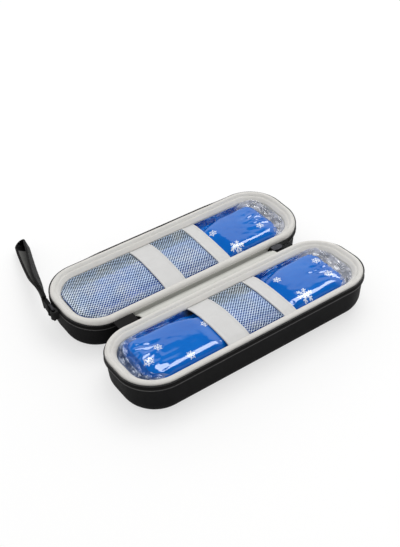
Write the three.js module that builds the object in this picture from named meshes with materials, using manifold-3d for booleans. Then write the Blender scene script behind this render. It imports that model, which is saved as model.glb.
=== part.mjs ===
// Insulin cooling case: two zipped halves with a gel pack each, folded out flat.
// Millimetres, +Z up. The base half stands on the origin, and the lid half lies behind it along +Y.
import * as THREE from 'three';
import { mergeVertices } from 'three/addons/utils/BufferGeometryUtils.js';
import Module from 'manifold-3d';

// Gap between pieces that touch, and between the two rims when the lid is shut
const SEAT = 0.3;

// Case halves, measured on the outline of the rim. The mouth leans towards the fold.
const RIM_LENGTH = 211;
const RIM_WIDTH = 69;
const CORNER_RADIUS = 28.2;
const HALF_DEPTH = 31.5;
const MOUTH_LEAN = THREE.MathUtils.degToRad(3);
const FOLD_GAP = 11.1;

// Moulded outer shell
const SHELL_WALL = 4;
const SHELL_DRAFT = 2.1;
const BOTTOM_RADIUS = 11;

// Insulating liner
const LINER_WALL = 3.9;
const LINER_FLOOR = 4.7;
const CAVITY_RADIUS = 5;

// Fabric binding round the mouth
const BINDING_HEIGHT = 3.7;
const BINDING_INSET = 0.3;
const BINDING_ROUND = 2.2;
const BINDING_SEAM_DROP = 0.6;
const BINDING_INNER_DROP = 2.9;
const BINDING_INNER_ROUND = 0.8;

// Zip tape and teeth
const TAPE_THICKNESS = 0.6;
const TAPE_HEIGHT = 2.2;
const TOOTH_ROW_WIDTH = 0.6;
const TOOTH_ROOT = 0.4;
const TOOTH_HEIGHT = 0.8;
const TOOTH_PITCH = 2.4;
const TOOTH_RECESS = 1.3;

// Cloth hinge
const HINGE_LENGTH = 124;
const HINGE_CLOTH = 1;
const SPINE_CLOTH = 0.9;
const HINGE_RECESS = 0.3;
const HINGE_SAG = 1.3;
const FOLD_CREASE = 0.6;

// Zip tape ends beside the hinge
const TAIL_GAP = 1.5;
const TAIL_LENGTH = 16.5;
const TAIL_THICKNESS = 0.8;
const TAIL_DEPTH = 4.7;
const TAIL_SLOT_START = 2;
const TAIL_SLOT_LENGTH = 12.5;
const TAIL_SLOT_WIDTH = 1.8;

// Zip slider and pull
const SLIDER_LENGTH = 9;
const SLIDER_WIDTH = 6.2;
const SLIDER_HEEL_WIDTH = 4.6;
const SLIDER_PLATE = 1;
const BRIDGE_LENGTH = 3;
const BAIL_SPAN = 5.2;
const BAIL_BAR = 1;
const BAIL_WIDTH = 1.6;
const PULL_LENGTH = 17;
const PULL_WIDTH = 4.8;
const PULL_THICKNESS = 1;
const PULL_LEG = 1.1;
const PULL_WINDOW = 3.4;

// Gel packs
const PACK_HEIGHT = 19.1;
const PACK_CROWN = 3;
const PACK_MARGIN = 1;
const PACK_SIDE = 5;
const PACK_SEAL = 6;
const PACK_FILM = 0.8;

// Elastic bands and nets over the packs
const WIDE_BAND_WIDTH = 18.7;
const WIDE_BAND_X = -18.9;
const NARROW_BAND_WIDTH = 11.3;
const NARROW_BAND_X = 27.3;
const BAND_THICKNESS = 1.2;
const NET_THICKNESS = 0.6;

// Wrist strap
const TAB_HEIGHT = 7;
const TAB_WEB = 1;
const TAB_NECK = 0.6;
const TAB_EYE = 3;
const RING_WIRE = 1.6;
const RING_REACH = 5.5;
const KEEPER_LENGTH = 10;
const KEEPER_HEIGHT = 7.4;
const KEEPER_THICKNESS = 3.4;
const STRAP_WIDTH = 10.5;
const STRAP_THICKNESS = 1.8;
const STRAP_LEAN = THREE.MathUtils.degToRad(5);
const LOOP_LENGTH = 103;
const LOOP_WIDTH = 13;
const LOOP_PINCH = 12;
const LOOP_BEND = THREE.MathUtils.degToRad(9);
const LOOP_ROLL = THREE.MathUtils.degToRad(27);

// Facets
const CORNER_STEPS = 10;
const ROUND_STEPS = 5;
const ARCH_STEPS = 16;
const EYE_STEPS = 10;
const CROWN_STEPS = 4;
const WELD = 1e-4;

// Shared places
const halfLength = RIM_LENGTH / 2;
const halfWidth = RIM_WIDTH / 2;
const cornerX = halfLength - CORNER_RADIUS;
const cornerY = halfWidth - CORNER_RADIUS;
const foldY = halfWidth + FOLD_GAP / 2;
const mouthSlope = Math.tan(MOUTH_LEAN);
const foldZ = HALF_DEPTH - mouthSlope * foldY + SEAT / 2;
const lipZ = HALF_DEPTH - BINDING_HEIGHT - SEAT;
const cavityInset = SHELL_WALL + SEAT + LINER_WALL;
const cavityFloor = SHELL_WALL + SEAT + LINER_FLOOR;
const toothTop = HALF_DEPTH - TOOTH_RECESS;
const toothBottom = toothTop - TOOTH_HEIGHT - TOOTH_ROOT;
const tapeTop = toothBottom - SEAT;
const tapeBack = SEAT - BINDING_INSET;
const tapeFace = tapeBack + TAPE_THICKNESS;
const zipEnd = HINGE_LENGTH / 2 + TAIL_GAP;

const wasm = await Module();
wasm.setup();

// Closed meshes from vertices and triangles
function surface(vertices, triangles) {
  const geometry = new THREE.BufferGeometry().setFromPoints(vertices);
  geometry.setIndex(triangles);
  return geometry;
}

function middle(ring) {
  const sum = new THREE.Vector3();
  ring.forEach((point) => sum.add(point));
  return sum.divideScalar(ring.length);
}

// Skin over a row of rings with equal point counts: capped at both ends, or closed on itself
function loft(rings, closed = false) {
  const count = rings[0].length;
  const vertices = rings.flat();
  const triangles = [];
  const spans = closed ? rings.length : rings.length - 1;
  for (let i = 0; i < spans; i++) {
    const near = i * count;
    const far = ((i + 1) % rings.length) * count;
    for (let j = 0; j < count; j++) {
      const next = (j + 1) % count;
      triangles.push(near + j, near + next, far + next);
      triangles.push(near + j, far + next, far + j);
    }
  }
  if (!closed) {
    const first = vertices.push(middle(rings[0])) - 1;
    const last = vertices.push(middle(rings.at(-1))) - 1;
    const top = (rings.length - 1) * count;
    for (let j = 0; j < count; j++) {
      const next = (j + 1) % count;
      triangles.push(first, next, j);
      triangles.push(last, top + j, top + next);
    }
  }
  return surface(vertices, triangles);
}

// Booleans
function solid(geometry) {
  const bare = geometry.clone();
  bare.deleteAttribute('normal');
  bare.deleteAttribute('uv');
  const merged = mergeVertices(bare, WELD);
  const vertProperties = new Float32Array(merged.attributes.position.array);
  const triVerts = new Uint32Array(merged.index.array);
  return new wasm.Manifold(new wasm.Mesh({ numProp: 3, vertProperties, triVerts }));
}

function fromSolid(body) {
  const { vertProperties, triVerts } = body.getMesh();
  const geometry = new THREE.BufferGeometry();
  geometry.setAttribute('position', new THREE.BufferAttribute(new Float32Array(vertProperties), 3));
  geometry.setIndex(new THREE.BufferAttribute(new Uint32Array(triVerts), 1));
  return geometry;
}

function union(...geometries) {
  return fromSolid(geometries.map(solid).reduce((body, next) => body.add(next)));
}

function intersection(first, second) {
  return fromSolid(solid(first).intersect(solid(second)));
}

// Flat outlines drawn in the Y-Z plane and extruded along X, centred on x
function extrudeAlongX(shape, width, x, curveSegments) {
  const geometry = new THREE.ExtrudeGeometry(shape, { depth: width, bevelEnabled: false, curveSegments });
  const turn = new THREE.Matrix4().makeBasis(
    new THREE.Vector3(0, 1, 0),
    new THREE.Vector3(0, 0, 1),
    new THREE.Vector3(1, 0, 0),
  );
  return geometry.applyMatrix4(turn).translate(x - width / 2, 0, 0);
}

// Flat outlines drawn in the X-Y plane and extruded upwards, centred on z
function extrudeUp(shape, height, z = 0) {
  const geometry = new THREE.ExtrudeGeometry(shape, {
    depth: height,
    bevelEnabled: false,
    curveSegments: EYE_STEPS,
  });
  return geometry.translate(0, 0, z - height / 2);
}

function rectangle(x0, y0, x1, y1, Kind = THREE.Shape) {
  const shape = new Kind();
  shape.moveTo(x0, y0);
  shape.lineTo(x1, y0);
  shape.lineTo(x1, y1);
  shape.lineTo(x0, y1);
  shape.closePath();
  return shape;
}

function circle(x, y, radius) {
  const path = new THREE.Path();
  path.absarc(x, y, radius, 0, 2 * Math.PI, false);
  return path;
}

// Rim outline, anticlockwise
const rimOutline = new THREE.Path();
rimOutline.absarc(cornerX, cornerY, CORNER_RADIUS, 0, Math.PI / 2, false);
rimOutline.absarc(-cornerX, cornerY, CORNER_RADIUS, Math.PI / 2, Math.PI, false);
rimOutline.absarc(-cornerX, -cornerY, CORNER_RADIUS, Math.PI, 1.5 * Math.PI, false);
rimOutline.absarc(cornerX, -cornerY, CORNER_RADIUS, 1.5 * Math.PI, 2 * Math.PI, false);
const rimPoints = rimOutline.getPoints(CORNER_STEPS / 2);

// The stretch of the rim that carries the zip, from the left end of the hinge round to its right end
const zipPath = new THREE.Path();
zipPath.moveTo(-zipEnd, halfWidth);
zipPath.absarc(-cornerX, cornerY, CORNER_RADIUS, Math.PI / 2, Math.PI, false);
zipPath.absarc(-cornerX, -cornerY, CORNER_RADIUS, Math.PI, 1.5 * Math.PI, false);
zipPath.absarc(cornerX, -cornerY, CORNER_RADIUS, 1.5 * Math.PI, 2 * Math.PI, false);
zipPath.absarc(cornerX, cornerY, CORNER_RADIUS, 0, Math.PI / 2, false);
zipPath.lineTo(zipEnd, halfWidth);

// Rim outline moved outwards by an offset and lifted to a height
function outward(point) {
  const coreX = THREE.MathUtils.clamp(point.x, -cornerX, cornerX);
  const coreY = THREE.MathUtils.clamp(point.y, -cornerY, cornerY);
  return new THREE.Vector2(point.x - coreX, point.y - coreY).normalize();
}

function offsetPoint(point, offset, z) {
  const direction = outward(point);
  return new THREE.Vector3(point.x + offset * direction.x, point.y + offset * direction.y, z);
}

function ring(offset, z, scaleX = 1, scaleY = 1) {
  return rimPoints.map((point) => {
    const place = offsetPoint(point, offset, z);
    return place.set(place.x * scaleX, place.y * scaleY, z);
  });
}

// Drafted wall of a half, and a cup's profile from the edge of its floor up to the lip
function wallOffset(z) {
  return -SHELL_DRAFT * (1 - z / HALF_DEPTH);
}

function cup(inset, floor, radius) {
  const rings = [];
  const wall = wallOffset(floor + radius) - inset;
  for (let i = 0; i <= ROUND_STEPS; i++) {
    const angle = (i / ROUND_STEPS) * (Math.PI / 2);
    rings.push(ring(wall - radius * (1 - Math.sin(angle)), floor + radius * (1 - Math.cos(angle))));
  }
  rings.push(ring(wallOffset(lipZ) - inset, lipZ));
  return rings;
}

// Moulded shell of a half
function shell() {
  const outside = cup(0, 0, BOTTOM_RADIUS);
  const inside = cup(SHELL_WALL, SHELL_WALL, BOTTOM_RADIUS - SHELL_WALL);
  return loft([...outside, ...inside.reverse()]);
}

// Insulating liner seated in the shell
function liner() {
  const inset = SHELL_WALL + SEAT;
  const outside = cup(inset, inset, BOTTOM_RADIUS - inset);
  const inside = cup(cavityInset, cavityFloor, CAVITY_RADIUS);
  return loft([...outside, ...inside.reverse()]);
}

// Rolled binding over the lips of shell and liner, with an inner strip that slopes down into the mouth
function rimBinding() {
  const bottom = lipZ + SEAT;
  const inner = wallOffset(lipZ) - cavityInset;
  const innerTop = HALF_DEPTH - BINDING_INNER_DROP;
  const rings = [ring(-BINDING_INSET, bottom)];
  for (let i = 0; i <= ROUND_STEPS; i++) {
    const angle = (i / ROUND_STEPS) * (Math.PI / 2);
    const offset = BINDING_ROUND * (Math.cos(angle) - 1) - BINDING_INSET;
    rings.push(ring(offset, HALF_DEPTH - BINDING_ROUND * (1 - Math.sin(angle))));
  }
  rings.push(ring(inner / 2, HALF_DEPTH - BINDING_SEAM_DROP));
  rings.push(ring(inner + BINDING_INNER_ROUND, innerTop));
  rings.push(ring(inner, bottom));
  return loft(rings, true);
}

// Zip tape standing on the wall outside the binding
function zipTape() {
  const bottom = tapeTop - TAPE_HEIGHT;
  const section = [
    [tapeBack, tapeTop],
    [tapeFace, tapeTop],
    [tapeFace, bottom],
    [tapeBack, bottom],
  ];
  const stations = zipPath.getPoints(CORNER_STEPS / 2);
  return loft(stations.map((point) => section.map(([offset, z]) => offsetPoint(point, offset, z))));
}

// Row of zip teeth on the tape's edge: a root strip with a pointed tooth at each pitch
function zipTeeth() {
  const teeth = Math.floor(zipPath.getLength() / TOOTH_PITCH);
  const root = toothBottom + TOOTH_ROOT;
  const outer = tapeBack + TOOTH_ROW_WIDTH;
  const vertices = [];
  const triangles = [];
  const add = (at, offset, z) => vertices.push(offsetPoint(zipPath.getPoint(at / teeth), offset, z)) - 1;
  const face = (...corners) => {
    for (let i = 2; i < corners.length; i++) {
      triangles.push(corners[0], corners[i - 1], corners[i]);
    }
  };
  const section = (at) => ({
    innerLow: add(at, tapeBack, toothBottom),
    outerLow: add(at, outer, toothBottom),
    innerRoot: add(at, tapeBack, root),
    outerRoot: add(at, outer, root),
  });
  const first = section(0);
  let near = first;
  for (let tooth = 0; tooth < teeth; tooth++) {
    const far = section(tooth + 1);
    const innerTip = add(tooth + 0.5, tapeBack, toothTop);
    const outerTip = add(tooth + 0.5, outer, toothTop);
    face(near.innerLow, far.innerLow, far.outerLow, near.outerLow);
    face(outerTip, near.outerRoot, near.outerLow, far.outerLow, far.outerRoot);
    face(innerTip, far.innerRoot, far.innerLow, near.innerLow, near.innerRoot);
    face(near.innerRoot, near.outerRoot, outerTip, innerTip);
    face(innerTip, outerTip, far.outerRoot, far.innerRoot);
    near = far;
  }
  face(first.innerLow, first.outerLow, first.outerRoot, first.innerRoot);
  face(near.innerRoot, near.outerRoot, near.outerLow, near.innerLow);
  return surface(vertices, triangles);
}

// Cloth hinge: one leaf of lining and one of spine cloth on each half, rising from the rim to the crease
function hingeLeaf(thickness, drop) {
  const rimSide = halfWidth + SEAT;
  const foldSide = foldY - FOLD_CREASE / 2;
  const high = HALF_DEPTH - HINGE_RECESS - drop;
  const low = high - HINGE_SAG;
  const shape = new THREE.Shape();
  shape.moveTo(rimSide, low - thickness);
  shape.lineTo(foldSide, high - thickness);
  shape.lineTo(foldSide, high);
  shape.lineTo(rimSide, low);
  shape.closePath();
  return extrudeAlongX(shape, HINGE_LENGTH, 0, 1);
}

// Gel pack: a filled film pouch with a crown, rounded sides and a flat seal at each end
const packBottom = cavityFloor + SEAT;
const packTop = packBottom + PACK_HEIGHT;
const cavityEdge = wallOffset(packTop - PACK_CROWN) - cavityInset;
const cavityHalfWidth = halfWidth + cavityEdge;
const packHalfWidth = cavityHalfWidth - PACK_MARGIN;
const archRadius = (packHalfWidth ** 2 + PACK_CROWN ** 2) / (2 * PACK_CROWN);
const archCentre = packTop - archRadius;

function gelPack() {
  const outline = packHalfWidth - halfWidth;
  const sealX = halfLength + outline;
  const bodyScale = (sealX - PACK_SEAL) / sealX;
  const crownSide = packHalfWidth - PACK_SIDE;
  const crown = (y) => archCentre + Math.sqrt(archRadius ** 2 - y ** 2);
  const seam = (packBottom + crown(packHalfWidth)) / 2;
  const sealLow = seam - PACK_FILM / 2;
  const sealHigh = seam + PACK_FILM / 2;
  const below = [];
  const above = [];
  for (let i = 0; i <= ROUND_STEPS; i++) {
    const angle = (i / ROUND_STEPS) * (Math.PI / 2);
    const underInset = PACK_SIDE * (1 - Math.sin(angle));
    const overInset = PACK_SIDE * (1 - Math.cos(angle));
    below.push(ring(outline - underInset, sealLow - (sealLow - packBottom) * Math.cos(angle), bodyScale));
    const overZ = sealHigh + (crown(crownSide) - sealHigh) * Math.sin(angle);
    above.push(ring(outline - overInset, overZ, bodyScale));
  }
  for (let i = 1; i < CROWN_STEPS; i++) {
    const scale = 1 - i / CROWN_STEPS;
    above.push(ring(outline - PACK_SIDE, crown(scale * crownSide), bodyScale * scale, scale));
  }
  return loft([...below, ring(outline, sealLow), ring(outline, sealHigh), ...above]);
}

// Strip across a half that arches over the pack: elastic bands and nets
function archStrip(thickness, left, right) {
  const under = archRadius + SEAT;
  const over = under + thickness;
  const halfAngle = Math.asin((cavityHalfWidth - SEAT) / over);
  const start = Math.PI / 2 - halfAngle;
  const end = Math.PI / 2 + halfAngle;
  const shape = new THREE.Shape();
  shape.absarc(0, archCentre, over, start, end, false);
  shape.absarc(0, archCentre, under, end, start, true);
  shape.closePath();
  return extrudeAlongX(shape, right - left, (left + right) / 2, ARCH_STEPS);
}

const wideLeft = WIDE_BAND_X - WIDE_BAND_WIDTH / 2;
const wideRight = WIDE_BAND_X + WIDE_BAND_WIDTH / 2;
const narrowLeft = NARROW_BAND_X - NARROW_BAND_WIDTH / 2;
const narrowRight = NARROW_BAND_X + NARROW_BAND_WIDTH / 2;

function netPocket() {
  const strip = archStrip(NET_THICKNESS, -halfLength, wideLeft - SEAT);
  const mouth = loft([ring(cavityEdge - SEAT, 0), ring(cavityEdge - SEAT, HALF_DEPTH)]);
  return intersection(strip, mouth);
}

// Zip tape ends lying flat across the fold beside the hinge
const tailHalfWidth = FOLD_GAP / 2 - tapeFace - SEAT;
const tailTop = HALF_DEPTH - TAIL_DEPTH;
const tailZ = tailTop - TAIL_THICKNESS / 2;
const slotStart = zipEnd + TAIL_SLOT_START;

function zipTail(slotted) {
  const shape = rectangle(zipEnd, -tailHalfWidth, zipEnd + TAIL_LENGTH, tailHalfWidth);
  if (slotted) {
    const slotSide = TAIL_SLOT_WIDTH / 2;
    shape.holes.push(rectangle(slotStart, -slotSide, slotStart + TAIL_SLOT_LENGTH, slotSide, THREE.Path));
  }
  return extrudeUp(shape, TAIL_THICKNESS, tailZ);
}

// Zip slider: two tapered plates joined through the slot, with a bail for the pull underneath
const sliderX = slotStart + SEAT + BRIDGE_LENGTH / 2;
const upperPlateZ = tailTop + SEAT + SLIDER_PLATE / 2;
const lowerPlateZ = tailTop - TAIL_THICKNESS - SEAT - SLIDER_PLATE / 2;
const bailTop = lowerPlateZ - SLIDER_PLATE / 2;
const pullPivotZ = bailTop - SEAT - PULL_THICKNESS / 2;
const bailInside = PULL_THICKNESS + 2 * SEAT;

function zipSlider() {
  const heel = -SLIDER_LENGTH / 2;
  const toe = SLIDER_LENGTH / 2;
  const shape = new THREE.Shape();
  shape.moveTo(heel, -SLIDER_HEEL_WIDTH / 2);
  shape.lineTo(0, -SLIDER_WIDTH / 2);
  shape.quadraticCurveTo(toe, -SLIDER_WIDTH / 2, toe, 0);
  shape.quadraticCurveTo(toe, SLIDER_WIDTH / 2, 0, SLIDER_WIDTH / 2);
  shape.lineTo(heel, SLIDER_HEEL_WIDTH / 2);
  shape.closePath();
  const bridgeHeight = upperPlateZ - lowerPlateZ;
  const bridge = new THREE.BoxGeometry(BRIDGE_LENGTH, TAIL_SLOT_WIDTH - 2 * SEAT, bridgeHeight);
  bridge.translate(0, 0, (upperPlateZ + lowerPlateZ) / 2);
  const bail = rectangle(-BAIL_SPAN / 2, bailTop - bailInside - BAIL_BAR, BAIL_SPAN / 2, lowerPlateZ);
  const eyeSide = BAIL_SPAN / 2 - BAIL_BAR;
  bail.holes.push(rectangle(-eyeSide, bailTop - bailInside, eyeSide, bailTop, THREE.Path));
  const bailBody = new THREE.ExtrudeGeometry(bail, { depth: BAIL_WIDTH, bevelEnabled: false });
  bailBody.translate(0, 0, -BAIL_WIDTH / 2).rotateX(Math.PI / 2);
  return union(
    extrudeUp(shape, SLIDER_PLATE, upperPlateZ),
    extrudeUp(shape, SLIDER_PLATE, lowerPlateZ),
    bridge,
    bailBody,
  );
}

// Pull tab hanging from the bail: a plate with a window that the bail passes through
function zipPull() {
  const side = PULL_WIDTH / 2;
  const top = PULL_THICKNESS / 2;
  const windowTop = -PULL_THICKNESS / 2;
  const shape = new THREE.Shape();
  shape.moveTo(side, top);
  shape.lineTo(-side, top);
  shape.lineTo(-side, side - PULL_LENGTH);
  shape.absarc(0, side - PULL_LENGTH, side, Math.PI, 2 * Math.PI, false);
  shape.closePath();
  const inside = side - PULL_LEG;
  shape.holes.push(rectangle(-inside, windowTop - PULL_WINDOW, inside, windowTop, THREE.Path));
  return extrudeAlongX(shape, PULL_THICKNESS, 0, EYE_STEPS);
}

// Wrist strap, drawn along +X from its tab's eye
const eyeOuter = TAB_EYE / 2 + TAB_WEB;
const tabReach = TAB_NECK + TAB_WEB + TAB_EYE / 2;
const tabZ = tapeTop - SEAT - TAB_HEIGHT / 2;
const strapX = -(halfLength + tapeFace + SEAT + tabReach);

function strapTab() {
  const shape = new THREE.Shape();
  shape.moveTo(-eyeOuter, -tabReach);
  shape.lineTo(eyeOuter, -tabReach);
  shape.lineTo(eyeOuter, 0);
  shape.absarc(0, 0, eyeOuter, 0, Math.PI, false);
  shape.closePath();
  shape.holes.push(circle(0, 0, TAB_EYE / 2));
  return extrudeUp(shape, TAB_HEIGHT);
}

function strapRing() {
  const bar = RING_WIRE / 2;
  const inside = Math.max(TAB_HEIGHT, KEEPER_HEIGHT) / 2 + SEAT;
  const shape = rectangle(-bar, -inside - RING_WIRE, RING_REACH + bar, inside + RING_WIRE);
  shape.holes.push(rectangle(bar, -inside, RING_REACH - bar, inside, THREE.Path));
  const geometry = new THREE.ExtrudeGeometry(shape, { depth: RING_WIRE, bevelEnabled: false });
  return geometry.translate(0, 0, -bar).rotateX(Math.PI / 2);
}

function strapKeeper() {
  const half = KEEPER_THICKNESS / 2;
  const neck = Math.sqrt(eyeOuter ** 2 - half ** 2);
  const spread = Math.asin(half / eyeOuter);
  const shape = new THREE.Shape();
  shape.moveTo(KEEPER_LENGTH, -half);
  shape.lineTo(KEEPER_LENGTH, half);
  shape.lineTo(neck, half);
  shape.absarc(0, 0, eyeOuter, spread, 2 * Math.PI - spread, false);
  shape.closePath();
  shape.holes.push(circle(0, 0, TAB_EYE / 2));
  return extrudeUp(shape, KEEPER_HEIGHT);
}

function strapLoop() {
  const pinch = KEEPER_THICKNESS / 2;
  const outer = LOOP_WIDTH / 2;
  const inner = outer - STRAP_THICKNESS;
  const bend = LOOP_LENGTH - outer;
  const shape = new THREE.Shape();
  shape.moveTo(0, -pinch);
  shape.lineTo(bend, -outer);
  shape.absarc(bend, 0, outer, -Math.PI / 2, Math.PI / 2, false);
  shape.lineTo(0, pinch);
  shape.closePath();
  const hand = new THREE.Path();
  hand.moveTo(LOOP_PINCH, 0);
  hand.lineTo(bend, -inner);
  hand.absarc(bend, 0, inner, -Math.PI / 2, Math.PI / 2, false);
  hand.closePath();
  shape.holes.push(hand);
  return extrudeUp(shape, STRAP_WIDTH);
}

// The loop is rolled over sideways and droops until its far lower edge meets the surface that the case lies on
const rollRise = Math.cos(LOOP_ROLL) / 2;
const rollSide = Math.sin(LOOP_ROLL) / 2;
const loopDrop = tabZ - SEAT - STRAP_WIDTH * rollRise - LOOP_WIDTH * rollSide;
const loopDroop = Math.asin(loopDrop / (LOOP_LENGTH - LOOP_WIDTH / 2));
const loopEndSide = KEEPER_THICKNESS * rollRise + STRAP_WIDTH * rollSide;
const loopEndRise = STRAP_WIDTH * rollRise + KEEPER_THICKNESS * rollSide;
const loopSetback = loopEndSide * Math.sin(LOOP_BEND) + loopEndRise * Math.sin(loopDroop);

// Materials
function material(color, roughness, metalness = 0) {
  return new THREE.MeshStandardMaterial({ color, roughness, metalness });
}

const blackSkin = material(0x1d1d1e, 0.55);
const blackCloth = material(0x232222, 0.8);
const greyCloth = material(0xcfcfc9, 0.85);
const foam = material(0xc4c6bf, 0.9);
const elastic = material(0xd5d4d2, 0.85);
const net = material(0xf2f4f6, 0.8);
const blueFilm = material(0x0a5fbb, 0.15);
const blackLeather = material(0x0d0d0d, 0.5);
const darkMetal = material(0x2a2a2c, 0.4, 0.9);

function piece(name, geometry, finish) {
  const mesh = new THREE.Mesh(geometry, finish);
  mesh.name = name;
  return mesh;
}

// The mouth's lean: heights in a half shrink towards its fold, which lies on the +Y or the -Y side
function leaning(foldSide, name, geometry, finish) {
  const points = geometry.attributes.position;
  for (let i = 0; i < points.count; i++) {
    const share = 1 - (foldSide * mouthSlope * points.getY(i)) / HALF_DEPTH;
    points.setZ(i, points.getZ(i) * share);
  }
  return piece(name, geometry, finish);
}

// Pieces that both halves have, with the fold on their +Y side
function caseHalf(half) {
  const group = new THREE.Group();
  group.add(
    leaning(1, `${half}_shell`, shell(), blackSkin),
    leaning(1, `${half}_liner`, liner(), foam),
    leaning(1, `${half}_rim_binding`, rimBinding(), greyCloth),
    leaning(1, `${half}_zip_tape`, zipTape(), blackCloth),
    leaning(1, `${half}_zip_teeth`, zipTeeth(), blackCloth),
    leaning(1, `${half}_hinge_leaf`, hingeLeaf(HINGE_CLOTH, 0), greyCloth),
    leaning(1, `${half}_spine_leaf`, hingeLeaf(SPINE_CLOTH, HINGE_CLOTH + SEAT), blackCloth),
  );
  return group;
}

// Pack, bands and net of a half, laid out alike in both
function contents(half, foldSide) {
  const wideBand = archStrip(BAND_THICKNESS, wideLeft, wideRight);
  const netPanel = archStrip(NET_THICKNESS, wideRight + SEAT, narrowLeft - SEAT);
  const narrowBand = archStrip(BAND_THICKNESS, narrowLeft, narrowRight);
  const group = new THREE.Group();
  group.add(
    leaning(foldSide, `${half}_gel_pack`, gelPack(), blueFilm),
    leaning(foldSide, `${half}_wide_band`, wideBand, elastic),
    leaning(foldSide, `${half}_net_panel`, netPanel, net),
    leaning(foldSide, `${half}_narrow_band`, narrowBand, elastic),
  );
  return group;
}

const base = new THREE.Group();
base.add(caseHalf('base'), contents('base', 1));

const lidTurned = caseHalf('lid');
lidTurned.rotation.z = Math.PI;
const lid = new THREE.Group();
lid.add(lidTurned, contents('lid', -1), leaning(-1, 'lid_net_pocket', netPocket(), net));

const zip = new THREE.Group();
zip.position.y = foldY;
const leftTail = piece('zip_tail_left', zipTail(false), blackCloth);
leftTail.rotation.z = Math.PI;
const slider = new THREE.Group();
slider.position.x = sliderX;
const pull = piece('zip_pull', zipPull(), darkMetal);
pull.position.z = pullPivotZ;
slider.add(piece('zip_slider', zipSlider(), darkMetal), pull);
zip.add(leftTail, piece('zip_tail_right', zipTail(true), blackCloth), slider);

// The strap is drawn along +X. It lies along +Y at the lid's left end and leans in towards the lid's corner.
const strap = new THREE.Group();
strap.position.set(strapX, 0, tabZ);
strap.rotation.z = Math.PI / 2;
const keeper = piece('strap_keeper', strapKeeper(), blackLeather);
keeper.position.x = RING_REACH;
const loop = piece('strap_loop', strapLoop(), blackLeather);
loop.position.x = RING_REACH + KEEPER_LENGTH + SEAT + loopSetback;
loop.rotation.set(-LOOP_ROLL, loopDroop, -LOOP_BEND, 'ZYX');
const hanging = new THREE.Group();
hanging.rotation.z = -STRAP_LEAN;
hanging.add(piece('strap_ring', strapRing(), darkMetal), keeper, loop);
strap.add(piece('strap_tab', strapTab(), blackCloth), hanging);

// The lid turns about the fold line: half a turn about +X, less both leans, lays its rim on the base's rim
const lidFold = new THREE.Group();
lidFold.position.set(0, foldY, foldZ);
lid.position.set(0, foldY, -foldZ);
lid.add(strap);
lidFold.add(lid);

const insulinCoolingCase = new THREE.Group();
insulinCoolingCase.add(base, lidFold, zip);

export default insulinCoolingCase;
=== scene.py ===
"""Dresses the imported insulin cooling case: cloth, film, net and leatherette on the fixed frame, in a pale studio."""

import math

import bmesh
import bpy
import numpy as np
from mathutils import Matrix, Vector, noise


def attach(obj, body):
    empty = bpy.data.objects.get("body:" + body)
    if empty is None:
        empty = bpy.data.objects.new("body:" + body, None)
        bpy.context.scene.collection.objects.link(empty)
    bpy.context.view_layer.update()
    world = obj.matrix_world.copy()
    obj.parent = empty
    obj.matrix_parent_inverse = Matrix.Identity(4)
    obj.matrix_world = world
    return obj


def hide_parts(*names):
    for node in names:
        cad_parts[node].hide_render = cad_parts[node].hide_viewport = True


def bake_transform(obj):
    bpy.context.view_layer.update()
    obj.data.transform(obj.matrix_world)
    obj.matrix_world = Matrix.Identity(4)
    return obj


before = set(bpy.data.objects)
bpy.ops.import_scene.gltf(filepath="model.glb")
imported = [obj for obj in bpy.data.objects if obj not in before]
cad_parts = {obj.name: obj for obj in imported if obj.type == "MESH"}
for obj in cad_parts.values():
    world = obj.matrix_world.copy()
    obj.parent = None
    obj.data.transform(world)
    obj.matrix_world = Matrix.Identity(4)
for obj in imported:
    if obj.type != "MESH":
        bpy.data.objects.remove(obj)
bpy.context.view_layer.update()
scene = bpy.context.scene
MM = 0.001

# Camera: it stands high in front of the base's left end and looks down along the case, which lies a little below the
# middle of the picture. Its place, turn and focal length were worked out from the outlines of both rims.
PICTURE_SIZE = (400, 547)
FOCAL_PIXELS = 923.4
CAMERA_PLACE = (-298.1, -402.1, 474.8)
CAMERA_AZIMUTH = math.radians(-33.44)
CAMERA_ELEVATION = math.radians(39.5)
CAMERA_ROLL = math.radians(-2.64)

camera = bpy.data.objects.new("camera", bpy.data.cameras.new("camera"))
scene.collection.objects.link(camera)
scene.camera = camera
level = math.cos(CAMERA_ELEVATION)
backward = Vector((
    math.sin(CAMERA_AZIMUTH) * level,
    -math.cos(CAMERA_AZIMUTH) * level,
    math.sin(CAMERA_ELEVATION),
))
sideways = Vector((math.cos(CAMERA_AZIMUTH), math.sin(CAMERA_AZIMUTH), 0))
upward = backward.cross(sideways)
rolled_side = math.cos(CAMERA_ROLL) * sideways + math.sin(CAMERA_ROLL) * upward
rolled_up = math.cos(CAMERA_ROLL) * upward - math.sin(CAMERA_ROLL) * sideways
turn = Matrix((rolled_side, rolled_up, backward)).transposed()
camera.matrix_world = Matrix.Translation(Vector(CAMERA_PLACE) * MM) @ turn.to_4x4()
camera.data.lens = camera.data.sensor_width * FOCAL_PIXELS / max(PICTURE_SIZE)
camera.data.clip_start = 0.01


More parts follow.
